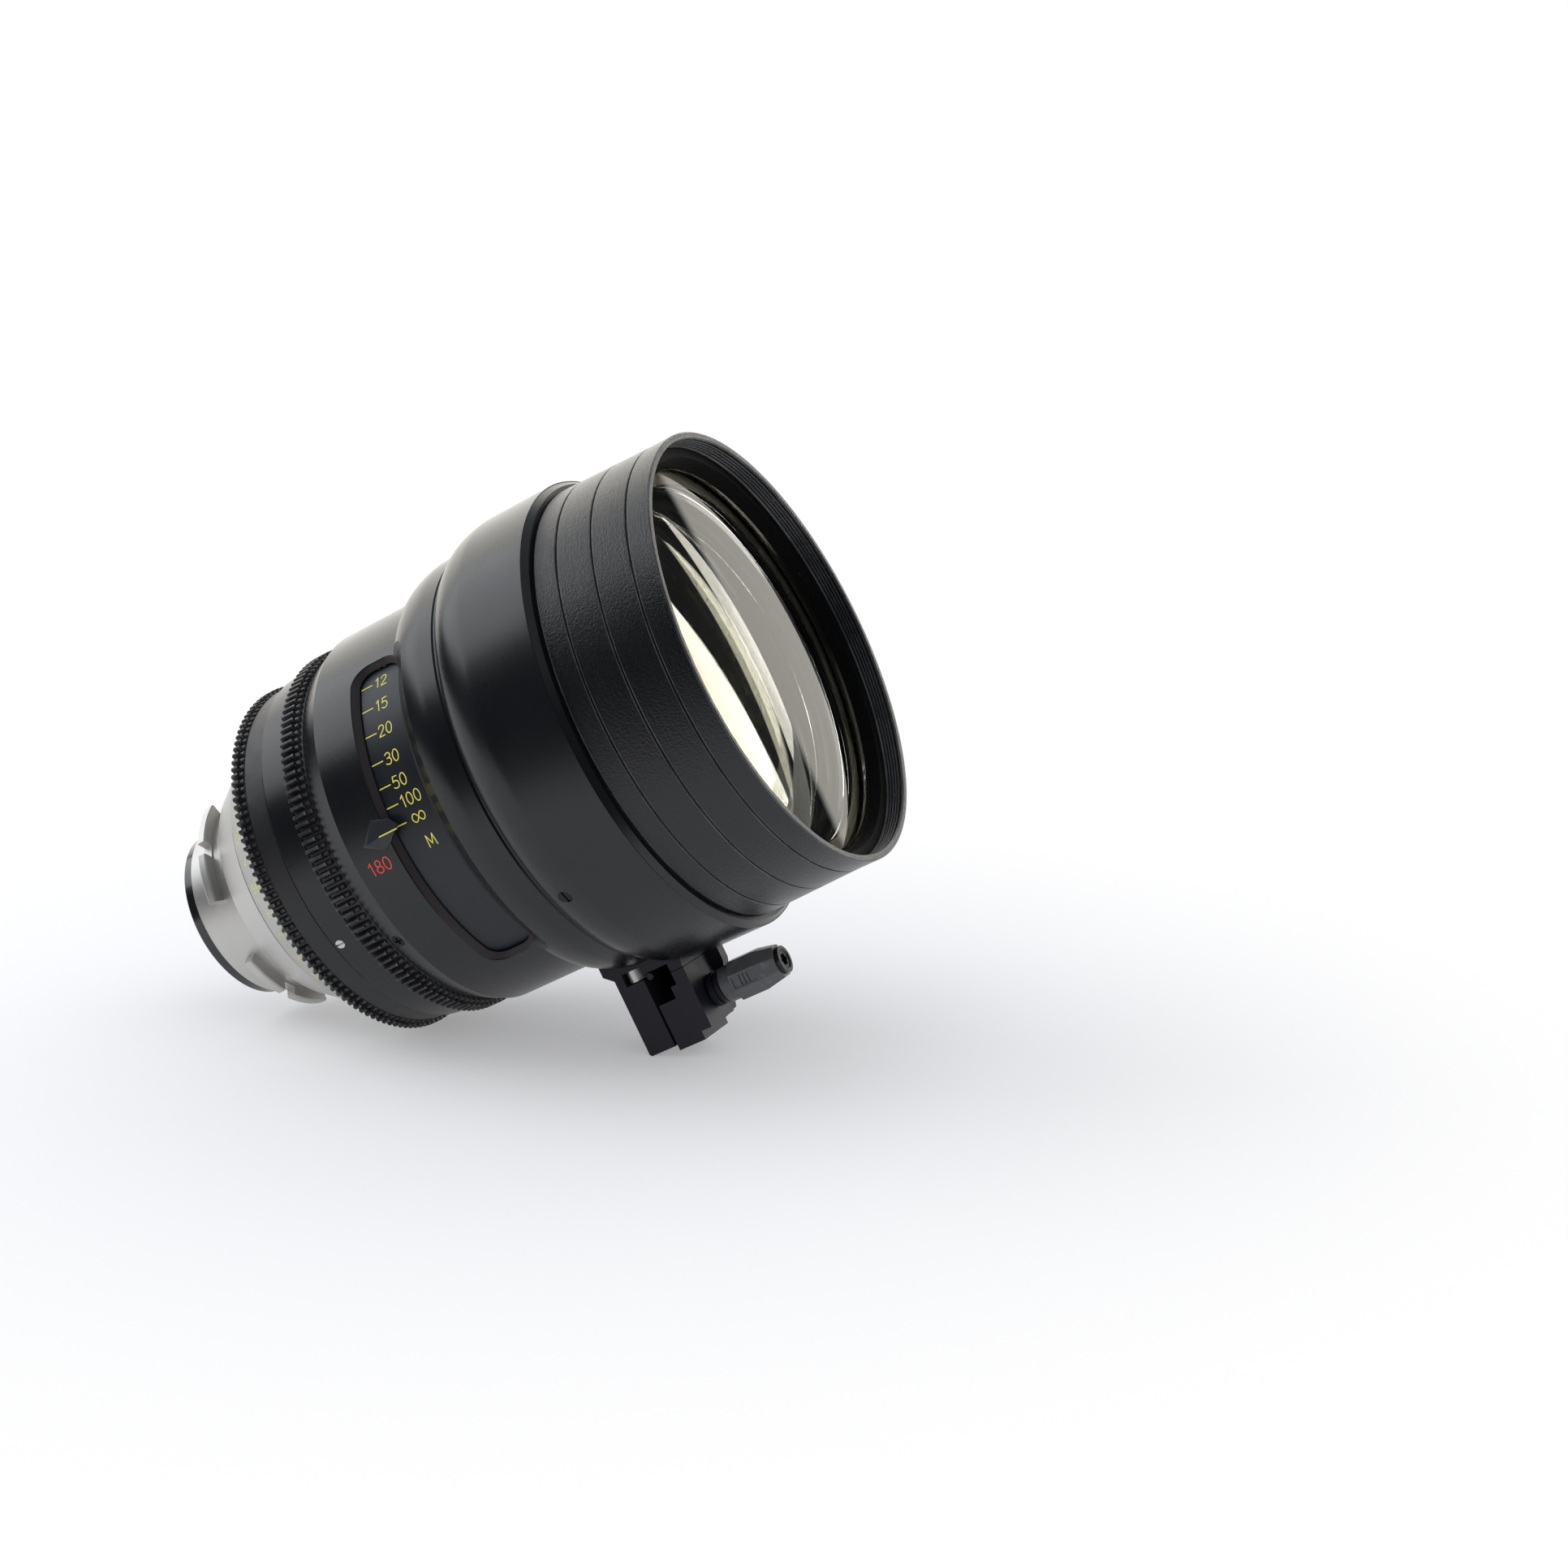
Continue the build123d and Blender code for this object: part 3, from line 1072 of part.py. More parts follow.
# Front cell with its two glasses, the spacer and the retaining ring
with BuildPart() as front_cell:
    cell_lip_end = front_cell_start + FRONT_CELL_LIP_LENGTH
    front_cell_outline = [
        (front_cell_start, front_cell_bore - FRONT_CELL_LIP),
        (front_cell_start, front_cell_radius),
        (front_cell_end, front_cell_radius),
        (front_cell_end, front_cell_bore),
        (cell_lip_end, front_cell_bore),
        (cell_lip_end, front_cell_bore - FRONT_CELL_LIP),
    ]
    revolve(half_section(front_cell_outline), axis=Axis.X)

with BuildPart() as front_glass:
    front_section = glass_section(
        front_glass_rear, front_glass_front, FRONT_GLASS_RADIUS,
        FRONT_GLASS_REAR_BULGE, FRONT_GLASS_BULGE, GLASS_LAND, FRONT_GLASS_NOSE,
    )
    revolve(front_section, axis=Axis.X)

with BuildPart() as front_spacer:
    revolve(
        tube_section(
            second_glass_front, front_glass_rear,
            FRONT_GLASS_RADIUS - FRONT_SPACER_WALL, FRONT_GLASS_RADIUS,
        ),
        axis=Axis.X,
    )

with BuildPart() as second_glass:
    second_section = glass_section(
        second_glass_rear, second_glass_front, FRONT_GLASS_RADIUS,
        SECOND_GLASS_REAR_BULGE, SECOND_GLASS_BULGE, GLASS_LAND,
    )
    revolve(second_section, axis=Axis.X)

with BuildPart() as front_retainer:
    retainer_bore = front_cell_bore - RETAINER_WALL
    ridge_pitch = RETAINER_STRAIGHT / RETAINER_RIDGE_COUNT
    ridges = []
    for index in range(RETAINER_RIDGE_COUNT):
        crest = retainer_end - index * ridge_pitch
        ridges.append((crest, retainer_bore))
        ridges.append((crest - ridge_pitch / 2, retainer_bore + RETAINER_RIDGE_DEPTH))
    retainer_outline = [
        (retainer_end, front_cell_bore),
        *ridges,
        (retainer_cone_start, retainer_bore),
        (retainer_cone_start, retainer_bore - RETAINER_STEP),
        (front_glass_front, retainer_bore - RETAINER_CONE_DROP),
        (front_glass_front, front_cell_bore),
    ]
    revolve(half_section(retainer_outline), axis=Axis.X)

# Stepped light baffle between the guide tube and the front cell
with BuildPart() as light_baffle:
    baffle_start = tube_end + LIGHT_BAFFLE_WALL
    baffle_step_length = (front_cell_start - END_GAP - baffle_start) / LIGHT_BAFFLE_STEPS
    baffle_rear_bore = tube_bore + LIGHT_BAFFLE_INSET
    baffle_front_bore = front_cell_bore - FRONT_CELL_LIP + LIGHT_BAFFLE_WALL
    baffle_rise = (baffle_front_bore - baffle_rear_bore) / LIGHT_BAFFLE_STEPS
    inside, outside = [], []
    for index in range(LIGHT_BAFFLE_STEPS):
        bore = baffle_rear_bore + index * baffle_rise
        start = baffle_start + index * baffle_step_length
        inside += [(start, bore), (start + baffle_step_length, bore)]
        outside += [
            (start, bore + baffle_rise + LIGHT_BAFFLE_WALL),
            (start + baffle_step_length, bore + baffle_rise + LIGHT_BAFFLE_WALL),
        ]
    flange_radius = baffle_rear_bore + baffle_rise + LIGHT_BAFFLE_FLANGE
    baffle_outline = [
        (tube_end, baffle_rear_bore),
        *inside,
        *reversed(outside),
        (baffle_start, flange_radius),
        (tube_end, flange_radius),
    ]
    revolve(half_section(baffle_outline), axis=Axis.X)

# Focusing group, drawn at infinity, its rearmost place
cell_radius = tube_bore - CELL_RUNNING_GAP
cell_bore = cell_radius - CELL_WALL
cell_glass_radius = cell_bore - GLASS_GAP
cell_glass_start = cell_start + CELL_LIP_LENGTH
cell_spacer_start = cell_glass_start + CELL_REAR_GLASS_EDGE
cell_retainer_start = cell_end - CELL_RETAINER_LENGTH
cell_spacer_end = cell_retainer_start - CELL_FRONT_GLASS_EDGE
with BuildPart() as focus_cell:
    cell_outline = [
        (cell_start, cell_bore - CELL_LIP),
        (cell_start, cell_radius),
        (cell_end, cell_radius),
        (cell_end, cell_bore),
        (cell_glass_start, cell_bore),
        (cell_glass_start, cell_bore - CELL_LIP),
    ]
    revolve(half_section(cell_outline), axis=Axis.X)
    for angle in angles(GUIDE_FIRST_ANGLE, GUIDE_SLOT_COUNT):
        with BuildSketch(radial_plane(roller_station, cell_radius - ROLLER_SEAT, angle)):
            Circle(ROLLER_RADIUS)
        extrude(amount=ROLLER_SEAT + OVERRUN, mode=Mode.SUBTRACT)

with BuildPart() as cam_rollers:
    for angle in angles(GUIDE_FIRST_ANGLE, GUIDE_SLOT_COUNT):
        with BuildSketch(radial_plane(roller_station, cell_radius - ROLLER_SEAT, angle)):
            Circle(ROLLER_RADIUS)
        extrude(amount=sleeve_bore + ROLLER_REACH - cell_radius + ROLLER_SEAT)

with BuildPart() as focus_rear_glass:
    focus_rear_section = glass_section(
        cell_glass_start, cell_spacer_start, cell_glass_radius,
        -CELL_REAR_GLASS_BULGE, CELL_REAR_GLASS_BULGE / 2, GLASS_LAND,
    )
    revolve(focus_rear_section, axis=Axis.X)

with BuildPart() as focus_spacer:
    revolve(
        tube_section(
            cell_spacer_start, cell_spacer_end,
            cell_glass_radius - CELL_SPACER_WALL, cell_glass_radius,
        ),
        axis=Axis.X,
    )

with BuildPart() as focus_front_glass:
    focus_front_section = glass_section(
        cell_spacer_end, cell_retainer_start, cell_glass_radius,
        -CELL_FRONT_GLASS_BULGE / 2, CELL_FRONT_GLASS_BULGE, GLASS_LAND,
    )
    revolve(focus_front_section, axis=Axis.X)

with BuildPart() as focus_retainer:
    revolve(
        tube_section(cell_retainer_start, cell_end, cell_bore - CELL_RETAINER_WALL, cell_bore),
        axis=Axis.X,
    )

# Support foot: block, roof, nose and cheek in one piece, shaped to the barrel above it
foot_rear = barrel_start + FOOT_REAR
block_front = foot_rear + FOOT_BLOCK_LENGTH
slot_front = block_front + SLOT_LENGTH
nose_front = slot_front + NOSE_LENGTH
cheek_front = block_front + CHEEK_LENGTH
cheek_side = FOOT_WIDTH / 2 - CHEEK_THICKNESS
nose_depth = housing_radius + FOOT_NOSE_WALL
roof_depth = nose_depth - FOOT_NOSE_DROP
foot_top = roof_depth - FOOT_TOP_RISE
lip_depth = roof_depth - FOOT_LIP_RISE
slot_floor = roof_depth + SLOT_HEIGHT
clamp_axis_depth = slot_floor + CLAMP_AXIS_DROP
foot_depth = clamp_axis_depth + FOOT_BASE_DROP
bolt_head_depth = roof_depth - BOLT_HEAD_RISE
cross_pin_place = (block_front + CROSS_PIN_REACH, -roof_depth - CROSS_PIN_DROP)
bolt_station = foot_rear + BOLT_STATION
with BuildPart() as foot_saddle:
    with BuildSketch(Plane.XZ):
        with BuildLine():
            Polyline(
                (foot_rear - FOOT_LIP_REACH, -foot_top),
                (foot_rear - FOOT_LIP_REACH, -lip_depth),
                (foot_rear, -lip_depth - FOOT_LIP_BEVEL),
                (foot_rear, -foot_depth + FOOT_BEVEL),
                (foot_rear + FOOT_BEVEL, -foot_depth),
                (block_front, -foot_depth),
                (block_front, -roof_depth),
                (slot_front, -roof_depth),
                (slot_front, -nose_depth),
                (nose_front, -nose_depth),
                (nose_front, -foot_top),
                close=True,
            )
        make_face()
    extrude(amount=FOOT_WIDTH / 2, both=True)
    # cheek on the far side, with its sloping lower front edge
    with BuildSketch(Plane.XZ.offset(-FOOT_WIDTH / 2)):
        with BuildLine():
            Polyline(
                (block_front - OVERRUN, -foot_top),
                (block_front - OVERRUN, -foot_depth),
                (block_front, -clamp_axis_depth - CHEEK_REAR_DROP),
                (block_front + CHEEK_BEVEL_LENGTH, -clamp_axis_depth - CHEEK_FRONT_DROP),
                (cheek_front, -nose_depth - CHEEK_THICKNESS),
                (cheek_front, -foot_top),
                close=True,
            )
        make_face()
    extrude(amount=CHEEK_THICKNESS)
    # seat shaped to the barrel and the housing
    for shoulder in (shoulder_1, shoulder_2):
        seat_curve = [(station, radius + SEAT_GAP) for station, radius in shoulder]
        seat_outline = [(seat_curve[-1][0], 0), (seat_curve[0][0], 0)]
        revolve(
            half_section(seat_outline, shoulder=seat_curve), axis=Axis.X, mode=Mode.SUBTRACT
        )
    revolve(
        tube_section(barrel_start, shoulder_1_start, 0, barrel_radius + SEAT_GAP),
        axis=Axis.X, mode=Mode.SUBTRACT,
    )
    revolve(
        tube_section(shoulder_1_end, shoulder_2[0][0], 0, band_1_radius + SEAT_GAP),
        axis=Axis.X, mode=Mode.SUBTRACT,
    )
    # pockets of the two cap screws, open to the sides
    pocket = 2 * (BOLT_HEAD_RADIUS + BOLT_ROOM)
    for side in (-1, 1):
        with BuildSketch(Plane.XY.offset(-bolt_head_depth)):
            with Locations((bolt_station, side * BOLT_SIDE)):
                Circle(pocket / 2)
            with Locations((bolt_station, side * (BOLT_SIDE + pocket / 2))):
                Rectangle(pocket, pocket)
        extrude(amount=-BOLT_HEAD_HEIGHT - BOLT_ROOM, mode=Mode.SUBTRACT)
        with BuildSketch(Plane.XY.offset(-bolt_head_depth)):
            with Locations((bolt_station, side * BOLT_SIDE)):
                Circle(BOLT_SHANK_RADIUS + SCREW_GAP)
        extrude(amount=BOLT_SHANK_LENGTH, mode=Mode.SUBTRACT)
    # bore of the clamp screw and hole of the cross pin
    with BuildSketch(Plane.YZ.offset(block_front)):
        with Locations((0, -clamp_axis_depth)):
            Circle(CLAMP_SCREW_RADIUS + CLAMP_SCREW_FIT)
    extrude(amount=-CLAMP_SCREW_BITE - BOLT_ROOM, mode=Mode.SUBTRACT)
    with BuildSketch(Plane.XZ.offset(-cheek_side)):
        with Locations(cross_pin_place):
            Circle(CROSS_PIN_RADIUS)
    extrude(amount=-CHEEK_THICKNESS / 2, mode=Mode.SUBTRACT)

with BuildPart() as foot_bolts:
    for side in (-1, 1):
        with BuildSketch(Plane.XY.offset(-bolt_head_depth)):
            with Locations((bolt_station, side * BOLT_SIDE)):
                Circle(BOLT_HEAD_RADIUS)
        extrude(amount=-BOLT_HEAD_HEIGHT)
        with BuildSketch(Plane.XY.offset(-bolt_head_depth)):
            with Locations((bolt_station, side * BOLT_SIDE)):
                Circle(BOLT_SHANK_RADIUS)
        extrude(amount=BOLT_ROOM)
        with BuildSketch(Plane.XY.offset(-bolt_head_depth - BOLT_HEAD_HEIGHT)):
            with Locations((bolt_station, side * BOLT_SIDE)):
                RegularPolygon(BOLT_SOCKET_RADIUS, 6)
        extrude(amount=BOLT_SOCKET_DEPTH, mode=Mode.SUBTRACT)

with BuildPart() as foot_cross_pin:
    with BuildSketch(Plane.XZ.offset(FOOT_WIDTH / 2 - CROSS_PIN_RADIUS)):
        with Locations(cross_pin_place):
            Circle(CROSS_PIN_RADIUS)
    extrude(amount=-(FOOT_WIDTH / 2 - CROSS_PIN_RADIUS + cheek_side + CHEEK_THICKNESS / 2))

# Clamp jaw, which closes the slot from the front and below
jaw_rear = block_front + JAW_SPLIT
jaw_lip_front = slot_front + JAW_LIP_OVERLAP
jaw_depth = clamp_axis_depth + JAW_DROP
jaw_lip_depth = clamp_axis_depth + JAW_LIP_DROP
with BuildPart() as clamp_jaw:
    with BuildSketch(Plane.XZ.offset(FOOT_WIDTH / 2)):
        with BuildLine():
            Polyline(
                (jaw_rear, -slot_floor),
                (slot_front - JAW_STEP_LENGTH, -slot_floor),
                (slot_front - JAW_STEP_LENGTH, -slot_floor + JAW_STEP_HEIGHT),
                (slot_front, -slot_floor + JAW_STEP_HEIGHT),
                (slot_front, -nose_depth - JAW_GAP),
                (nose_front, -nose_depth - JAW_GAP),
                (nose_front, -jaw_depth),
                (jaw_lip_front, -jaw_depth),
                (jaw_lip_front, -jaw_lip_depth),
                (jaw_rear, -jaw_lip_depth),
                close=True,
            )
        make_face()
    extrude(amount=-(FOOT_WIDTH - CHEEK_THICKNESS - JAW_GAP))
    with BuildSketch(Plane.YZ.offset(nose_front)):
        with Locations((0, -clamp_axis_depth)):
            Circle(CLAMP_SCREW_RADIUS + CLAMP_SCREW_FIT)
    extrude(amount=jaw_rear - nose_front, mode=Mode.SUBTRACT)

# Clamp screw with its collar and knob
clamp_axis = (0, -clamp_axis_depth)
collar_start = nose_front + JAW_GAP
collar_front = collar_start + COLLAR_LENGTH
knob_end = collar_front + KNOB_LENGTH
knob_body_start = collar_front + KNOB_TAIL_LENGTH
knob_taper_start = knob_end - KNOB_TAPER_LENGTH
with BuildPart() as clamp_screw:
    with BuildSketch(Plane.YZ.offset(block_front - CLAMP_SCREW_BITE)):
        with Locations(clamp_axis):
            Circle(CLAMP_SCREW_RADIUS)
    extrude(amount=collar_front + KNOB_BORE_DEPTH - block_front + CLAMP_SCREW_BITE)

with BuildPart() as clamp_collar:
    with BuildSketch(Plane.YZ.offset(collar_start)):
        with Locations(clamp_axis):
            Circle(COLLAR_RADIUS)
    extrude(amount=COLLAR_LENGTH)
    chamfer(edges().filter_by(GeomType.CIRCLE), length=COLLAR_CHAMFER)
    with BuildSketch(Plane.YZ.offset((collar_start + collar_front) / 2)):
        with Locations(clamp_axis):
            Circle(COLLAR_RADIUS)
            Circle(COLLAR_RADIUS - COLLAR_GROOVE, mode=Mode.SUBTRACT)
    extrude(amount=COLLAR_GROOVE, mode=Mode.SUBTRACT)
    with BuildSketch(Plane.YZ.offset(collar_start)):
        with Locations(clamp_axis):
            Circle(CLAMP_SCREW_RADIUS)
    extrude(amount=COLLAR_LENGTH, mode=Mode.SUBTRACT)

with BuildPart() as clamp_knob:
    with BuildSketch(Plane.YZ.offset(collar_front)):
        with Locations(clamp_axis):
            Circle(KNOB_TAIL_RADIUS)
    extrude(amount=KNOB_TAIL_LENGTH)
    with BuildSketch(Plane.YZ.offset(knob_body_start)):
        with Locations(clamp_axis):
            RegularPolygon(KNOB_RADIUS, KNOB_SIDES, rotation=180 / KNOB_SIDES)
    extrude(amount=knob_taper_start - knob_body_start)
    with BuildSketch(Plane.YZ.offset(knob_taper_start)):
        with Locations(clamp_axis):
            RegularPolygon(KNOB_RADIUS, KNOB_SIDES, rotation=180 / KNOB_SIDES)
    with BuildSketch(Plane.YZ.offset(knob_end)):
        with Locations(clamp_axis):
            RegularPolygon(KNOB_RADIUS - KNOB_TAPER, KNOB_SIDES, rotation=180 / KNOB_SIDES)
    loft(ruled=True)
    # bores for the clamp screw and, at the other end, for the end screw
    with BuildSketch(Plane.YZ.offset(collar_front)):
        with Locations(clamp_axis):
            Circle(CLAMP_SCREW_RADIUS)
    extrude(amount=KNOB_BORE_DEPTH, mode=Mode.SUBTRACT)
    with BuildSketch(Plane.YZ.offset(knob_end)):
        with Locations(clamp_axis):
            Circle(END_SCREW_RADIUS)
    extrude(amount=-END_SCREW_LENGTH + CAP_LENGTH, mode=Mode.SUBTRACT)
    # sunk panels on two faces, each with three slots
    flat = KNOB_RADIUS * math.cos(math.pi / KNOB_SIDES)
    panel_middle = knob_body_start + KNOB_PANEL_LENGTH / 2
    for side in (-1, 1):
        panel_origin = (panel_middle, side * flat, -clamp_axis_depth)
        panel = Plane(origin=panel_origin, x_dir=(1, 0, 0), z_dir=(0, side, 0))
        with BuildSketch(panel):
            Rectangle(KNOB_PANEL_LENGTH - KNOB_SLOT_PITCH, KNOB_PANEL_WIDTH)
        extrude(amount=-KNOB_PANEL_DEPTH, mode=Mode.SUBTRACT)
        with BuildSketch(panel.offset(-KNOB_PANEL_DEPTH)):
            with GridLocations(KNOB_SLOT_PITCH, 0, KNOB_SLOT_COUNT, 1):
                Rectangle(KNOB_SLOT_WIDTH, KNOB_SLOT_LENGTH)
        extrude(amount=-KNOB_SLOT_DEPTH, mode=Mode.SUBTRACT)

with BuildPart() as knob_cap:
    with BuildSketch(Plane.YZ.offset(knob_end)):
        with Locations(clamp_axis):
            Circle(CAP_RADIUS)
            Circle(END_SCREW_RADIUS, mode=Mode.SUBTRACT)
    extrude(amount=CAP_LENGTH)
    chamfer(edges().filter_by(GeomType.CIRCLE).sort_by(Axis.X)[-1], length=CAP_LENGTH / 3)

with BuildPart() as knob_end_screw:
    screw_back = knob_end + CAP_LENGTH - END_SCREW_LENGTH
    with BuildSketch(Plane.YZ.offset(screw_back)):
        with Locations(clamp_axis):
            Circle(END_SCREW_RADIUS)
    extrude(amount=END_SCREW_LENGTH - CAP_LENGTH / 4)
    with BuildSketch(Plane.YZ.offset(screw_back + END_SCREW_LENGTH - CAP_LENGTH / 4)):
        with Locations(clamp_axis):
            Circle(END_SOCKET_RADIUS)
            with PolarLocations(END_SOCKET_RADIUS, END_SOCKET_POINTS):
                Circle(END_SOCKET_RADIUS / 4)
    extrude(amount=-END_SOCKET_DEPTH, mode=Mode.SUBTRACT)

# Every piece is written under its own name
pieces = {
    "rear_baffle_ring": rear_baffle_ring,
    "pl_mount": pl_mount,
    "mount_screws": mount_screws,
    "mount_shim": mount_shim,
    "rear_cell": rear_cell,
    "rear_glass": rear_glass,
    "rear_spacer": rear_spacer,
    "rear_inner_glass": rear_inner_glass,
    "iris_carrier": iris_carrier,
    "iris_drive_ring": iris_drive_ring,
    "iris_drive_pin": iris_drive_pin,
    "iris_cover": iris_cover,
    "iris_scale_ring": iris_scale_ring,
    "iris_ring": iris_ring,
    "rear_band": rear_band,
    "rear_band_screws": rear_band_screws,
    "guide_tube": guide_tube,
    "focus_ring": focus_ring,
    "focus_sleeve": focus_sleeve,
    "main_barrel": main_barrel,
    "barrel_screws": barrel_screws,
    "glide_ring": glide_ring,
    "index_wedge": index_wedge,
    "front_housing": front_housing,
    "housing_screws": housing_screws,
    "front_hood": front_hood,
    "front_cell": front_cell,
    "front_glass": front_glass,
    "front_spacer": front_spacer,
    "second_glass": second_glass,
    "front_retainer": front_retainer,
    "light_baffle": light_baffle,
    "focus_cell": focus_cell,
    "cam_rollers": cam_rollers,
    "focus_rear_glass": focus_rear_glass,
    "focus_spacer": focus_spacer,
    "focus_front_glass": focus_front_glass,
    "focus_retainer": focus_retainer,
    "foot_saddle": foot_saddle,
    "foot_bolts": foot_bolts,
    "foot_cross_pin": foot_cross_pin,
    "clamp_jaw": clamp_jaw,
    "clamp_screw": clamp_screw,
    "clamp_collar": clamp_collar,
    "clamp_knob": clamp_knob,
    "knob_cap": knob_cap,
    "knob_end_screw": knob_end_screw,
}
for index, blade in enumerate(iris_blades, start=1):
    pieces[f"iris_blade_{index}"] = blade

for label, piece in pieces.items():
    piece.part.label = label
    export_step(piece.part, f"parts/{label}.step")
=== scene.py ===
"""Looks of a 180 mm cinema prime lens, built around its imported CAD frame.

The row frame has +X along the optical axis towards the front glass and +Z at the top of
the lens. An angle goes round the axis from +Z towards -Y, the side with the large window.
Lengths below are in millimetres until they go into a mesh.
"""

import functools
import math

import bmesh
import bpy
import numpy as np
from mathutils import Matrix, Quaternion, Vector


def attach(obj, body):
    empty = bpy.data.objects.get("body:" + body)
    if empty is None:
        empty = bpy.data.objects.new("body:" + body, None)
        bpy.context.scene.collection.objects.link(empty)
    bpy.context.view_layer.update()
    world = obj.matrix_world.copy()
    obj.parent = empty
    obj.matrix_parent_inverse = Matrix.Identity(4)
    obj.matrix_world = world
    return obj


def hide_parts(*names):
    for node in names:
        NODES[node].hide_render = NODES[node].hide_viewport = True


bl_info = {
    "name": "Cinema prime lens",
    "version": (1, 0, 0),
    "blender": (4, 5, 0),
    "location": "View3D > Sidebar > Prime lens",
    "description": "Dresses the packed frame of a 180 mm cinema prime lens",
    "category": "Object",
}

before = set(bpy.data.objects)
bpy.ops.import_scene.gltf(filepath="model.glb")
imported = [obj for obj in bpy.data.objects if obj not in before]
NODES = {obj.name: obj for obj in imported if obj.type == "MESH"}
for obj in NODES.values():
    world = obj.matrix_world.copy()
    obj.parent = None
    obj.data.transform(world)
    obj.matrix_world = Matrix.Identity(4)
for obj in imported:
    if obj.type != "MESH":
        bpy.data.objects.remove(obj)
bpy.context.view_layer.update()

MM = 0.001
WHITE = (1.0, 1.0, 1.0)


# Sizes and colours that a user would change

class LensSizes(bpy.types.PropertyGroup):
    """Sizes of the details that the looks add to the frame."""

    facets: bpy.props.IntProperty(
        name="Facets round the axis", description="Columns of a turned surface",
        default=288, min=48, max=720,
    )
    edge_break: bpy.props.FloatProperty(
        name="Edge break", description="Width of the broken edge of a turned piece",
        default=0.16 * MM, min=0.02 * MM, max=1.0 * MM, unit="LENGTH", precision=5,
    )
    numeral_height: bpy.props.FloatProperty(
        name="Numeral height", description="Height of the numerals on the focus scale",
        default=3.3 * MM, min=1.0 * MM, max=6.0 * MM, unit="LENGTH", precision=5,
    )
    numeral_stroke: bpy.props.FloatProperty(
        name="Numeral stroke", description="Width of the engraver's stroke",
        default=0.36 * MM, min=0.05 * MM, max=1.0 * MM, unit="LENGTH", precision=5,
    )
    fill_height: bpy.props.FloatProperty(
        name="Paint height", description="How far the filled marks stand proud",
        default=0.04 * MM, min=0.01 * MM, max=0.2 * MM, unit="LENGTH", precision=5,
    )


def colour_property(name, description, default):
    """A colour for the lens's panel, in linear values."""
    return bpy.props.FloatVectorProperty(
        name=name, description=description, default=default,
        subtype="COLOR", size=3, min=0.0, max=1.0,
    )


class LensColours(bpy.types.PropertyGroup):
    """Colours of the finishes."""

    anodise: colour_property(
        "Black anodise", "Barrel, housing and hood", (0.0036, 0.0043, 0.0056)
    )
    gear: colour_property("Gear black", "Toothed rings", (0.0075, 0.0077, 0.0088))
    sleeve: colour_property("Sleeve", "Dark sleeve with the scale", (0.0050, 0.0074, 0.0115))
    steel: colour_property("Mount steel", "Bayonet mount", (0.66, 0.635, 0.59))
    aluminium: colour_property("Scale grey", "Iris scale ring", (0.50, 0.50, 0.47))
    foot: colour_property("Foot black", "Support foot", (0.0088, 0.0086, 0.0140))
    knob: colour_property("Knob plastic", "Moulded clamp knob", (0.085, 0.087, 0.092))
    scale_yellow: colour_property("Scale yellow", "Filled focus marks", (0.78, 0.70, 0.10))
    scale_red: colour_property("Scale red", "Focal length", (0.80, 0.045, 0.02))


# Shader maths

class Value:
    """A number that changes over a surface. Python's arithmetic on it adds Math nodes."""

    def __init__(self, finish, socket):
        self.finish = finish
        self.socket = socket

    def __add__(self, other):
        return self.finish.maths("ADD", self, other)

    def __radd__(self, other):
        return self.finish.maths("ADD", other, self)

    def __sub__(self, other):
        return self.finish.maths("SUBTRACT", self, other)

    def __rsub__(self, other):
        return self.finish.maths("SUBTRACT", other, self)

    def __mul__(self, other):
        return self.finish.maths("MULTIPLY", self, other)

    def __rmul__(self, other):
        return self.finish.maths("MULTIPLY", other, self)

    def __pow__(self, other):
        return self.finish.maths("POWER", self, other)


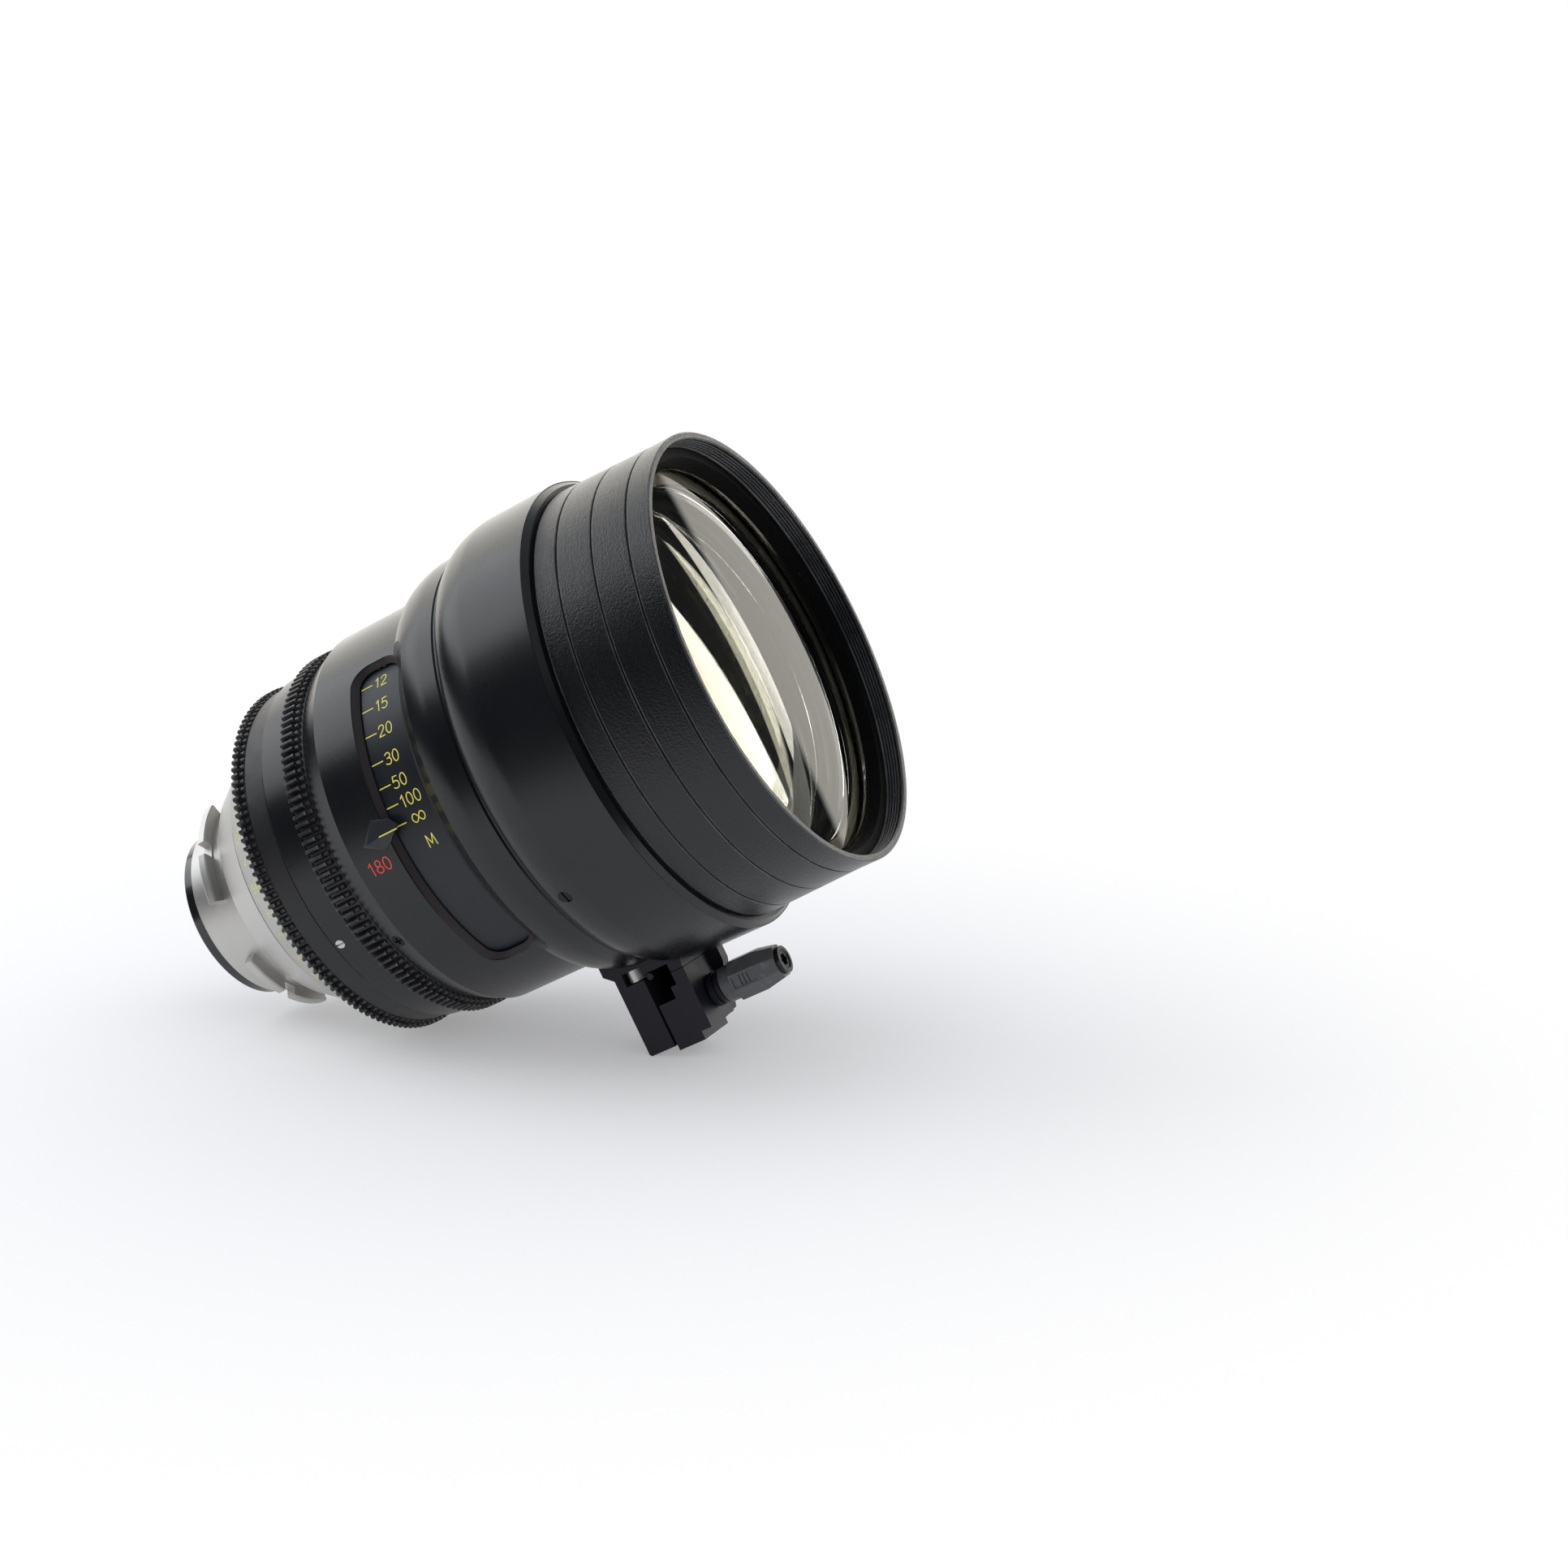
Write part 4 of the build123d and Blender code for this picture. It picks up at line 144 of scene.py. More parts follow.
class Finish:
    """One material or world: its node tree, and the shorthand that fills it."""

    def __init__(self, owner):
        owner.use_nodes = True
        self.owner = owner
        self.tree = owner.node_tree
        self.tree.nodes.clear()

    def node(self, kind, settings=None, inputs=None):
        """Adds a node: its settings first, then the values or links of its sockets."""
        node = self.tree.nodes.new(kind)
        for key, value in (settings or {}).items():
            setattr(node, key, value)
        for key, value in (inputs or {}).items():
            socket = node.inputs[key]
            source = value.socket if isinstance(value, Value) else value
            if isinstance(source, bpy.types.NodeSocket):
                self.tree.links.new(source, socket)
            elif socket.type == "RGBA" and len(source) == 3:
                socket.default_value = (*source, 1.0)
            else:
                socket.default_value = source
        return node

    def maths(self, operation, *operands):
        """One Math node."""
        node = self.node("ShaderNodeMath", {"operation": operation}, dict(enumerate(operands)))
        return Value(self, node.outputs[0])

    @functools.cached_property
    def place(self):
        """Object coordinates."""
        return self.node("ShaderNodeTexCoord").outputs["Object"]

    @functools.cached_property
    def axes(self):
        """The three object coordinates as numbers."""
        split = self.node("ShaderNodeSeparateXYZ", None, {0: self.place})
        return [Value(self, output) for output in split.outputs]

    @functools.cached_property
    def radius(self):
        """Distance from the optical axis."""
        return self.maths("SQRT", self.axes[1] ** 2.0 + self.axes[2] ** 2.0)

    def vector(self, x, y, z):
        """A vector of three numbers."""
        return self.node("ShaderNodeCombineXYZ", None, {0: x, 1: y, 2: z}).outputs[0]

    def noise(self, scale, detail=2.0, rough=0.5, vector=None):
        """Noise over the object, about 0.5 on average; scale is per metre."""
        node = self.node(
            "ShaderNodeTexNoise", None,
            {"Vector": vector or self.place, "Scale": scale, "Detail": detail, "Roughness": rough},
        )
        return Value(self, node.outputs[0])

    def turning(self, pitch, drift=30.0):
        """Tool marks of a lathe: noise that changes fast along the axis and outwards,
        and hardly at all round it."""
        fast = 1.0 / (pitch * MM)
        vector = self.vector(
            self.axes[0] * fast + self.axes[1] * drift,
            self.radius * fast, self.axes[2] * drift,
        )
        return self.noise(1.0, 2.0, 0.6, vector)

    def step(self, value, low, high):
        """0 below low, 1 above high, and smooth between them."""
        node = self.node(
            "ShaderNodeMapRange", {"interpolation_type": "SMOOTHSTEP"},
            {"Value": value, "From Min": low, "From Max": high},
        )
        return Value(self, node.outputs[0])

    def between(self, value, low, high, soft):
        """1 from low to high and 0 outside, with a smooth rise and fall of width soft."""
        return self.step(value, low, low + soft) - self.step(value, high, high + soft)

    def attribute(self, name):
        """A number stored on the mesh."""
        node = self.node("ShaderNodeAttribute", {"attribute_name": name})
        return Value(self, node.outputs["Fac"])

    def mix(self, factor, first, second):
        """A colour between two others."""
        node = self.node(
            "ShaderNodeMix", {"data_type": "RGBA"}, {0: factor, 6: first, 7: second}
        )
        return node.outputs[2]

    def bump(self, height, strength, distance):
        """A Bump node; distance is in millimetres."""
        inputs = {"Height": height, "Strength": strength, "Distance": distance * MM}
        return self.node("ShaderNodeBump", None, inputs).outputs[0]

    def surface(self, **sockets):
        """Closes the tree with a Principled shader; an underscore stands for a space."""
        inputs = {key.replace("_", " "): value for key, value in sockets.items()}
        shader = self.node("ShaderNodeBsdfPrincipled", None, inputs)
        self.node("ShaderNodeOutputMaterial", None, {"Surface": shader.outputs[0]})
        return self.owner

    # What only the stage needs

    def ray(self, kind):
        """1 for rays of one kind, such as Is Camera Ray."""
        return Value(self, self.node("ShaderNodeLightPath").outputs[kind])

    def along(self, vector, axis):
        """How far a place or a direction reaches along an axis."""
        node = self.node(
            "ShaderNodeVectorMath", {"operation": "DOT_PRODUCT"}, {0: vector, 1: tuple(axis)}
        )
        return Value(self, node.outputs["Value"])

    def light(self, kind, colour, strength):
        """An Emission or a Background node."""
        return self.node("ShaderNode" + kind, None, {"Color": colour, "Strength": strength})

    def blend(self, factor, first, second):
        """A Mix Shader between two shader nodes."""
        return self.node(
            "ShaderNodeMixShader", None, {0: factor, 1: first.outputs[0], 2: second.outputs[0]}
        )


def finish(mix):
    """Makes a material once, under the name of the function that mixes it. A material that
    has the name already is taken as it is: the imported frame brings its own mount_steel,
    screw_steel, screw_black, screw_zinc, inner_black, blade_steel and glide_plastic, so
    its plain materials show for these seven and their mixes aren't run."""

    @functools.wraps(mix)
    def material():
        found = bpy.data.materials.get(mix.__name__)
        return found or mix(Finish(bpy.data.materials.new(mix.__name__)))

    return material


def colours():
    """The colours of the panel."""
    return bpy.context.scene.lens_colours


def sizes():
    """The sizes of the panel."""
    return bpy.context.scene.lens_sizes


# Finishes

def tinted(base, share):
    """A colour times a number."""
    return tuple(share * c for c in base)


def anodised(f, base, roughness, grain, grain_depth, wear=None, slope=None):
    """Black anodise: turned lines, fine grain of the given size in millimetres, and faint
    handling marks. Where wear is 1 its edges are rubbed to the metal, and where slope is 1
    it is browner and duller."""
    lines = f.turning(0.16)
    fine = f.noise(1.0 / (grain * MM), 3.0, 0.6)
    cloud = f.noise(38.0, 4.0, 0.6)
    smear = f.step(f.noise(14.0, 3.0, 0.7), 0.52, 0.72)
    colour = f.mix(cloud * 0.5 + lines * 0.2, base, tinted(base, 1.9))
    gloss = roughness + (cloud - 0.5) * 0.10 + (lines - 0.5) * 0.05 - smear * 0.04
    metal = 0.0
    if wear is not None:
        rub = wear * (0.35 + 0.65 * f.step(f.noise(90.0, 4.0, 0.7), 0.40, 0.62))
        colour = f.mix(rub, colour, (0.10, 0.10, 0.105))
        metal = rub * 0.5
    if slope is not None:
        colour = f.mix(slope, colour, (0.024, 0.016, 0.018))
        gloss = gloss + slope * 0.30
    height = fine * grain_depth + lines * (0.35 * grain_depth)
    return f.surface(
        Base_Color=colour, Roughness=gloss, Metallic=metal,
        Normal=f.bump(height, 0.5, grain),
    )


@finish
def barrel_anodise(f):
    """Satin anodise of the barrel, the housing and the fixed band, duller and browner on
    the slopes round the scale's window."""
    slope = f.between(f.axes[0], 64.0 * MM, 97.0 * MM, 1.0 * MM)
    slope = slope * (1.0 - f.step(f.radius, 57.3 * MM, 57.7 * MM))
    return anodised(f, tuple(colours().anodise), 0.27, 0.10, 0.12, None, slope)


@finish
def wedge_anodise_painted_sheen(f):
    """The index wedge's anodise, 2.6 times paler than the barrel's: a painted sheen for the light
    that the wedge catches.
    """
    # Painted sheen: the barrel's black made paler all over the wedge.
    return anodised(f, tinted(colours().anodise, 2.6), 0.36, 0.10, 0.12)


@finish
def hood_anodise(f):
    """The hood's finely crinkled anodise, with rubbed rims."""
    return anodised(f, tuple(colours().anodise), 0.27, 0.65, 0.50, f.attribute("wear"))


@finish
def ring_anodise(f):
    """Smooth black of the small turned rings."""
    return anodised(f, tuple(colours().anodise), 0.28, 0.09, 0.08, f.attribute("wear"))


@finish
def gear_anodise(f):
    """Toothed rings: duller black in the gaps, rubbed to grey on the teeth's lands."""
    base = tuple(colours().gear)
    rub = f.attribute("wear") * f.step(f.noise(420.0, 4.0, 0.7), 0.40, 0.62)
    dust = f.step(f.noise(95.0, 5.0, 0.7), 0.50, 0.75) * 0.35
    colour = f.mix(dust, base, (0.032, 0.033, 0.036))
    colour = f.mix(rub, colour, (0.20, 0.20, 0.205))
    gloss = 0.42 - rub * 0.12 + (f.noise(300.0, 3.0) - 0.5) * 0.12
    grain = f.noise(9000.0, 2.0)
    return f.surface(
        Base_Color=colour, Roughness=gloss, Metallic=rub * 0.6,
        Normal=f.bump(grain, 0.35, 0.05),
    )


@finish
def sleeve_anodise(f):
    """Dark blue-grey sleeve under the marks."""
    lines = f.turning(0.11)
    cloud = f.noise(45.0, 4.0, 0.6)
    base = tuple(colours().sleeve)
    colour = f.mix(cloud * 0.6, base, tinted(base, 1.9))
    return f.surface(
        Base_Color=colour, Roughness=0.42 + (cloud - 0.5) * 0.12,
        Normal=f.bump(lines, 0.3, 0.02),
    )


@finish
def baffle_gloss(f):
    """Glossy black ring behind the spigot."""
    lines = f.turning(0.2)
    dust = f.step(f.noise(900.0, 3.0, 0.8), 0.66, 0.78)
    colour = f.mix(dust * 0.4, (0.008, 0.008, 0.009), (0.08, 0.08, 0.08))
    return f.surface(
        Base_Color=colour, Roughness=0.16 + dust * 0.3 + (lines - 0.5) * 0.06,
        Coat_Weight=0.4, Coat_Roughness=0.08, Normal=f.bump(lines, 0.25, 0.02),
    )


@finish
def mount_steel(f):
    """Turned steel of the bayonet: tool rings, duller streaks, patches of brown film, painted
    brown shade in the undercut and on the lugs' front faces, small scratches."""
    base = tuple(colours().steel)
    lines = f.turning(0.07)
    bands = f.turning(0.9)
    film = f.step(f.noise(70.0, 5.0, 0.65), 0.50, 0.68)
    x, y, z = f.axes
    low = 1.0 - f.step(f.radius, 30.6 * MM, 32.6 * MM)
    # Painted shade: the undercut behind the lugs is darkened brown, on top of the random film.
    dark = film * 0.35 + low * f.step(x, 2.0 * MM, 3.0 * MM) * 0.25
    # Painted shade: the lugs' front faces, which face into the undercut, are made almost black.
    lug_face_shade = f.between(x, 2.6 * MM, 3.2 * MM, 0.2 * MM)
    lug_face_shade = lug_face_shade * f.step(f.radius, 31.7 * MM, 31.9 * MM)
    scratch = f.noise(1.0, 2.0, 0.5, f.vector(x * 900.0, y * 5200.0, z * 700.0))
    scratch = f.step(scratch, 0.66, 0.72)
    streak = f.noise(1.0, 4.0, 0.7, f.vector(x * 50.0, y * 260.0, z * 260.0))
    colour = f.mix(f.step(streak, 0.42, 0.60), base, (0.34, 0.315, 0.28))
    colour = f.mix(dark, colour, (0.11, 0.085, 0.060))
    colour = f.mix(lug_face_shade, colour, (0.040, 0.029, 0.020))
    colour = f.mix(scratch * 0.3, colour, (0.85, 0.85, 0.84))
    gloss = 0.33 + (lines - 0.5) * 0.22 + (bands - 0.5) * 0.16 + film * 0.12
    return f.surface(
        Base_Color=colour, Metallic=0.8, Roughness=gloss,
        Normal=f.bump(lines + scratch * 0.4, 0.35, 0.03),
    )


@finish
def scale_aluminium(f):
    """Grey cone that carries the iris marks: matt, finely turned."""
    base = tuple(colours().aluminium)
    lines = f.turning(0.09)
    cloud = f.noise(60.0, 4.0, 0.6)
    soil = f.step(f.noise(160.0, 5.0, 0.7), 0.56, 0.74)
    colour = f.mix(cloud * 0.5, base, tinted(base, 0.72))
    colour = f.mix(soil * 0.25, colour, (0.12, 0.11, 0.095))
    return f.surface(
        Base_Color=colour, Metallic=0.75, Roughness=0.40 + (lines - 0.5) * 0.2,
        Normal=f.bump(lines, 0.3, 0.03),
    )


def screw_metal(f, base, roughness, metallic):
    """Small turned screws: fine rings of the lathe and a little grime."""
    grime = f.step(f.noise(1500.0, 4.0, 0.7), 0.50, 0.70)
    colour = f.mix(grime * 0.5, base, tinted(base, 0.35))
    fine = f.noise(14000.0, 2.0)
    return f.surface(
        Base_Color=colour, Metallic=metallic, Roughness=roughness + grime * 0.2,
        Normal=f.bump(fine, 0.3, 0.02),
    )


@finish
def screw_steel(f):
    """Bright slotted screws."""
    return screw_metal(f, (0.55, 0.54, 0.52), 0.24, 1.0)


@finish
def screw_black(f):
    """Blackened screws."""
    return screw_metal(f, (0.045, 0.042, 0.040), 0.30, 0.85)


@finish
def screw_zinc(f):
    """Zinc-plated cap screws of the foot, with a cold yellowish sheen."""
    return screw_metal(f, (0.62, 0.64, 0.60), 0.26, 1.0)


@finish
def inner_black(f):
    """Matt black inside the tubes, with fine thread-like lines that kill reflections."""
    lines = f.turning(0.35)
    cloud = f.noise(90.0, 3.0)
    return f.surface(
        Base_Color=f.mix(cloud, (0.006, 0.006, 0.0065), (0.013, 0.013, 0.014)),
        Roughness=0.46 + (lines - 0.5) * 0.2, Normal=f.bump(lines, 0.4, 0.08),
    )


@finish
def blade_steel(f):
    """Blued steel of the iris blades."""
    x, y, z = f.axes
    lines = f.noise(1.0, 2.0, 0.5, f.vector(x * 100.0, y * 3000.0, z * 400.0))
    return f.surface(
        Base_Color=f.mix(lines, (0.035, 0.037, 0.045), (0.075, 0.078, 0.088)),
        Metallic=0.8, Roughness=0.38 + (lines - 0.5) * 0.2,
    )


@finish
def glide_plastic(f):
    """White acetal of the glide ring."""
    cloud = f.noise(200.0, 3.0)
    return f.surface(
        Base_Color=f.mix(cloud, (0.62, 0.61, 0.57), (0.72, 0.71, 0.68)),
        Roughness=0.40 + (cloud - 0.5) * 0.1,
    )


@finish
def coated_glass(f):
    """Optical glass under its faint warm coating, with a faint wiped smear."""
    smear = f.step(f.noise(36.0, 4.0, 0.7), 0.50, 0.80)
    return f.surface(
        Base_Color=f.mix(smear, (0.95, 0.945, 0.88), (0.93, 0.925, 0.86)),
        Roughness=smear * 0.008, IOR=1.62, Transmission_Weight=1.0,
        Specular_Tint=(0.62, 0.595, 0.48, 1.0),
    )


@finish
def lacquer_painted_reflection(f):
    """Lacquered rim and rear land of a glass, coloured olive as a painted reflection of the pale
    surroundings in the glass.
    """
    grain = f.noise(2600.0, 3.0)
    # Painted reflection: the olive stands for the pale surroundings seen over the glass's black
    # edge.
    return f.surface(
        Base_Color=f.mix(grain, (0.14, 0.13, 0.10), (0.19, 0.18, 0.135)),
        Roughness=0.55 + (grain - 0.5) * 0.1, Specular_IOR_Level=0.1,
    )


@finish
def foot_anodise(f):
    """Milled foot: violet-black anodise with faint milling arcs."""
    base = tuple(colours().foot)
    arcs = f.node(
        "ShaderNodeTexWave", {"wave_type": "RINGS", "rings_direction": "Y"},
        {"Vector": f.place, "Scale": 700.0, "Distortion": 1.5, "Detail": 1.0},
    ).outputs[1]
    arcs = Value(f, arcs)
    cloud = f.noise(70.0, 4.0, 0.6)
    fine = f.noise(8000.0, 2.0)
    return f.surface(
        Base_Color=f.mix(cloud, base, tinted(base, 1.7)),
        Roughness=0.44 + (cloud - 0.5) * 0.14 + (arcs - 0.5) * 0.04, Specular_IOR_Level=0.3,
        Normal=f.bump(fine + arcs * 0.3, 0.3, 0.03),
    )


@finish
def moulded_plastic(f):
    """Moulded knob: orange-peel skin, rubbed lighter in random patches."""
    base = tuple(colours().knob)
    peel = f.noise(2600.0, 3.0, 0.6)
    rub = f.step(f.noise(380.0, 4.0, 0.7), 0.50, 0.72)
    return f.surface(
        Base_Color=f.mix(rub * 0.6, base, tinted(base, 1.8)),
        Roughness=0.40 + rub * 0.10, Normal=f.bump(peel, 0.4, 0.10),
    )


def paint(f, base):
    """Enamel in the engraver's strokes: slightly uneven, dirtier in places."""
    worn = f.step(f.noise(2400.0, 4.0, 0.7), 0.46, 0.74)
    return f.surface(
        Base_Color=f.mix(worn * 0.45, base, tinted(base, 0.55)),
        Roughness=0.50 + (worn - 0.5) * 0.1, Normal=f.bump(worn, 0.2, 0.02),
    )


@finish
def yellow_paint(f):
    """Focus marks, whole iris stops and the witness line."""
    return paint(f, tuple(colours().scale_yellow))


@finish
def red_paint(f):
    """The focal length."""
    return paint(f, tuple(colours().scale_red))


@finish
def green_paint(f):
    """The marks between the iris stops."""
    return paint(f, (0.05, 0.36, 0.16))


# Meshes

def polar(station, radius, angle):
    """Points of the row frame, in metres, from a station, a radius and an angle round the
    axis in radians: (x, -r sin a, r cos a)."""
    return np.stack(
        np.broadcast_arrays(station, -radius * np.sin(angle), radius * np.cos(angle)), axis=-1
    ) * MM


def wrapped_quads(rows, columns, close_rows=True):
    """Quads of a grid whose columns close on themselves, and whose rows do where asked."""
    row = np.arange(rows if close_rows else rows - 1)[:, None]
    column = np.arange(columns)[None, :]
    next_row, next_column = (row + 1) % rows, (column + 1) % columns
    corners = [
        row * columns + column, next_row * columns + column,
        next_row * columns + next_column, row * columns + next_column,
    ]
    return np.stack(np.broadcast_arrays(*corners), axis=-1).reshape(-1, 4)


def signed_volume(points, quads):
    """Six times the volume inside closed quads, negative where they face inwards: the sum
    of the triple products of their triangles' corners."""
    a, b, c, d = (points[quads[:, i]] for i in range(4))
    return (a * (np.cross(b, c) + np.cross(c, d))).sum()


def outline_area(outline):
    """Twice the area inside a closed outline, negative where it runs clockwise."""
    following = np.roll(outline, -1, 0)
    return (outline[:, 0] * following[:, 1] - following[:, 0] * outline[:, 1]).sum()


def outward(mesh):
    """Merges doubles, then turns the faces of closed shells outwards."""
    shell = bmesh.new()
    shell.from_mesh(mesh)
    bmesh.ops.remove_doubles(shell, verts=shell.verts, dist=1e-7)
    bmesh.ops.recalc_face_normals(shell, faces=shell.faces)
    shell.to_mesh(mesh)
    shell.free()


def settle(piece, body, replaced):
    """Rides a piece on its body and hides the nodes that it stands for."""
    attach(piece, body)
    if replaced:
        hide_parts(*replaced)


def dress(material, *names):
    """Gives CAD nodes a finish in place of their plain one."""
    for name in names:
        for place in NODES[name].material_slots:
            place.material = material


def make_piece(name, points, faces, materials, normals=None, attributes=None, sharp=None):
    """An object from arrays, at the origin, with its place in its mesh. sharp is the angle
    in degrees past which an edge shades as an edge."""
    mesh = bpy.data.meshes.new(name)
    mesh.from_pydata(points.reshape(-1, 3).tolist(), [], faces)
    for material in materials:
        mesh.materials.append(material)
    mesh.shade_smooth()
    for key, values in (attributes or {}).items():
        layer = mesh.attributes.new(key, "FLOAT", "POINT")
        layer.data.foreach_set("value", np.asarray(values, np.float32).ravel())
    if sharp is not None:
        mesh.set_sharp_from_angle(angle=math.radians(sharp))
    if normals is not None:
        mesh.normals_split_custom_set_from_vertices(normals.reshape(-1, 3).tolist())
    mesh.validate()
    piece = bpy.data.objects.new(name, mesh)
    bpy.context.scene.collection.objects.link(piece)
    return piece


# Turned pieces, glasses and gears

CORNER_TURN = 14  # degrees past which a corner of an outline is broken
GUARD_SHARE = 2.2  # a guard's distance from the corner, in edge breaks
REACH_SHARE = 0.22  # the most of a side that an edge break takes


def eased(outline, size):
    """Breaks the corners of a closed outline of (station, radius) points. A sharp corner
    becomes a flat of the given size between two guards, and where it stands proud the flat
    counts as worn. Returns the new points and their wear."""
    outline = np.asarray(outline, float)
    before, after = np.roll(outline, 1, 0) - outline, np.roll(outline, -1, 0) - outline
    lengths = np.linalg.norm(before, axis=1), np.linalg.norm(after, axis=1)
    turn = before[:, 0] * after[:, 1] - before[:, 1] * after[:, 0]
    straight = -(before * after).sum(1) / (lengths[0] * lengths[1])
    area = outline_area(outline)
    points, wear = [], []
    for index, corner in enumerate(outline):
        if straight[index] > math.cos(math.radians(CORNER_TURN)):
            points.append(corner)
            wear.append(0.0)
            continue
        proud = turn[index] * area < 0
        reach = [min(size, REACH_SHARE * length[index]) for length in lengths]
        for share, side, length, worn in (
            (GUARD_SHARE, before, lengths[0], 0), (1, before, lengths[0], 1),
            (1, after, lengths[1], 1), (GUARD_SHARE, after, lengths[1], 0),
        ):
            step = reach[0] if side is before else reach[1]
            points.append(corner + side[index] / length[index] * step * share)
            wear.append(float(worn and proud))
    return np.array(points), np.array(wear)


def turned(name, outline, material, body, replaced):
    """A turned piece. Each point of its closed outline goes round the axis, and its normal
    is the mean of the two flats that meet there, weighted by their squared lengths, so a
    broken edge shades as if rounded."""
    profile, wear = eased(outline, sizes().edge_break / MM)
    columns = sizes().facets
    angle = np.linspace(0, 2 * math.pi, columns, endpoint=False)
    points = polar(profile[:, 0, None], profile[:, 1, None], angle[None, :])
    quads = wrapped_quads(len(profile), columns)
    flat = np.roll(profile, -1, 0) - profile
    length = np.linalg.norm(flat, axis=1, keepdims=True)
    facing = np.stack([flat[:, 1], -flat[:, 0]], axis=1) / np.maximum(length, 1e-9)
    weighted = facing * length ** 2
    normal = weighted + np.roll(weighted, 1, 0)
    normal /= np.linalg.norm(normal, axis=1, keepdims=True)
    if signed_volume(points.reshape(-1, 3), quads) < 0:
        quads = quads[:, ::-1]
    if outline_area(profile) < 0:
        normal = -normal
    normals = polar(normal[:, 0, None], normal[:, 1, None], angle[None, :]) / MM
    piece = make_piece(
        name, points, quads.tolist(), [material], normals,
        {"wear": np.repeat(wear, columns)},
    )
    settle(piece, body, replaced)


ARC_POINTS = 28
GLASS_COLUMNS = 160
GLASS_LAND = 2.6  # width of the flat land round a face
GLASS_ARRIS = 0.15  # width of a glass's broken edge
NOSE_EASE = 0.5  # how far the front face stops inside the nose's wall


def curved_face(station, bulge, clear, facing):
    """One face of a glass: (station, radius) points of a spherical arc from the axis to the
    edge of its clear part, with its normals. The sphere through the edge and the bulge has
    a radius of (clear squared + bulge squared) / (2 bulge)."""
    sphere = (clear ** 2 + bulge ** 2) / (2 * abs(bulge))
    share = np.append(np.linspace(0, 1, ARC_POINTS), 1.0)
    share[-2] = 0.995
    angle = share * math.asin(clear / sphere)
    side = math.copysign(1, bulge)
    points = np.stack(
        [station + bulge - side * sphere * (1 - np.cos(angle)), sphere * np.sin(angle)], axis=1
    )
    return points, facing * np.stack([np.cos(angle), side * np.sin(angle)], axis=1)


def glass_rim(rear, front, radius, rear_clear, clear, nose):
    """The rim from the rear clear part to the front one, as (station, radius, and the
    normal along the axis and outwards): land, broken edge, ground wall, broken edge, land,
    and the nose's wall where the front face stands on one."""
    ease = GLASS_ARRIS
    rim = [
        (rear, rear_clear + ease, -1, 0), (rear, radius - 2 * ease, -1, 0),
        (rear, radius - ease, -0.9, 0.4), (rear + ease, radius, -0.4, 0.9),
        (rear + 2 * ease, radius, 0, 1), (front - 2 * ease, radius, 0, 1),
        (front - ease, radius, 0.4, 0.9), (front, radius - ease, 0.9, 0.4),
        (front, radius - 2 * ease, 1, 0), (front, clear + ease, 1, 0),
    ]
    if nose:
        rim += [
            (front, clear + 0.01, 0.7, 0.7), (front + 0.3, clear, 0, 1),
            (front + nose - 0.5, clear, 0, 1), (front + nose - 0.3, clear, 0.1, 0.99),
            (front + nose - 0.08, clear - 0.12, 0.7, 0.7), (front + nose, clear - 0.35, 1, 0.1),
        ]
    return np.array(rim, float)


def make_glass(name, rear, front, radius, rear_bulge, front_bulge, body, nose=0.0, painted_reflection_band=0.0):
    """A glass with two curved faces, a flat land round each, and a ground rim. A nose lifts the
    front face above its land, and a lacquered band of the given width widens the rear land; that
    band and the rim show a painted reflection."""
    clear, columns = radius - GLASS_LAND, GLASS_COLUMNS
    rear_clear = clear - painted_reflection_band
    rear_points, rear_normals = curved_face(rear, rear_bulge, rear_clear, -1)
    front_points, front_normals = curved_face(
        front + nose, front_bulge, clear - (NOSE_EASE if nose else 0.0), 1
    )
    rim = glass_rim(rear, front, radius, rear_clear, clear, nose)
    profile = np.concatenate([rear_points[1:], rim[:, :2], front_points[:0:-1]])
    normal = np.concatenate([rear_normals[1:], rim[:, 2:], front_normals[:0:-1]])
    angle = np.linspace(0, 2 * math.pi, columns, endpoint=False)
    rings = polar(profile[:, 0, None], profile[:, 1, None], angle[None, :]).reshape(-1, 3)
    across = polar(normal[:, 0, None], normal[:, 1, None], angle[None, :]).reshape(-1, 3) / MM
    poles = np.array([[rear + rear_bulge, 0, 0], [front + nose + front_bulge, 0, 0]]) * MM
    quads = wrapped_quads(len(profile), columns, False)
    rear_pole, front_pole = len(rings), len(rings) + 1
    last = len(rings) - columns
    spokes = np.arange(columns)
    following = (spokes + 1) % columns
    if signed_volume(rings, quads) < 0:
        quads = quads[:, ::-1]
        caps = [(rear_pole, following, spokes), (front_pole, last + spokes, last + following)]
    else:
        caps = [(rear_pole, spokes, following), (front_pole, last + following, last + spokes)]
    faces = quads.tolist()
    for pole, first, second in caps:
        faces += np.stack([np.full(columns, pole), first, second], axis=1).tolist()
    piece = make_piece(
        name, np.concatenate([rings, poles]), faces, [coated_glass(), lacquer_painted_reflection()],
        np.concatenate([across, [[-1, 0, 0], [1, 0, 0]]]),
    )
    if painted_reflection_band:
        middle = np.empty(3 * len(piece.data.polygons))
        piece.data.polygons.foreach_get("center", middle)
        middle = middle.reshape(-1, 3)
        # The faces of the rim and of the widened rear land take the painted reflection.
        painted_reflection_faces = (middle[:, 0] < front * MM + 1e-5) & (
            np.hypot(middle[:, 1], middle[:, 2]) > rear_clear * MM
        )
        piece.data.polygons.foreach_set("material_index", painted_reflection_faces.astype(np.int32))
    settle(piece, body, [name.replace("element", "glass")])


# A tooth's corners as shares of its pitch, from gap to gap, and how its edges are eased
TOOTH_SHARES = np.array([-0.36, -0.32, -0.165, -0.12, 0.12, 0.165, 0.32, 0.36])
ROOT_EASE, TIP_EASE, END_EASE = 0.12, 0.10, 0.22


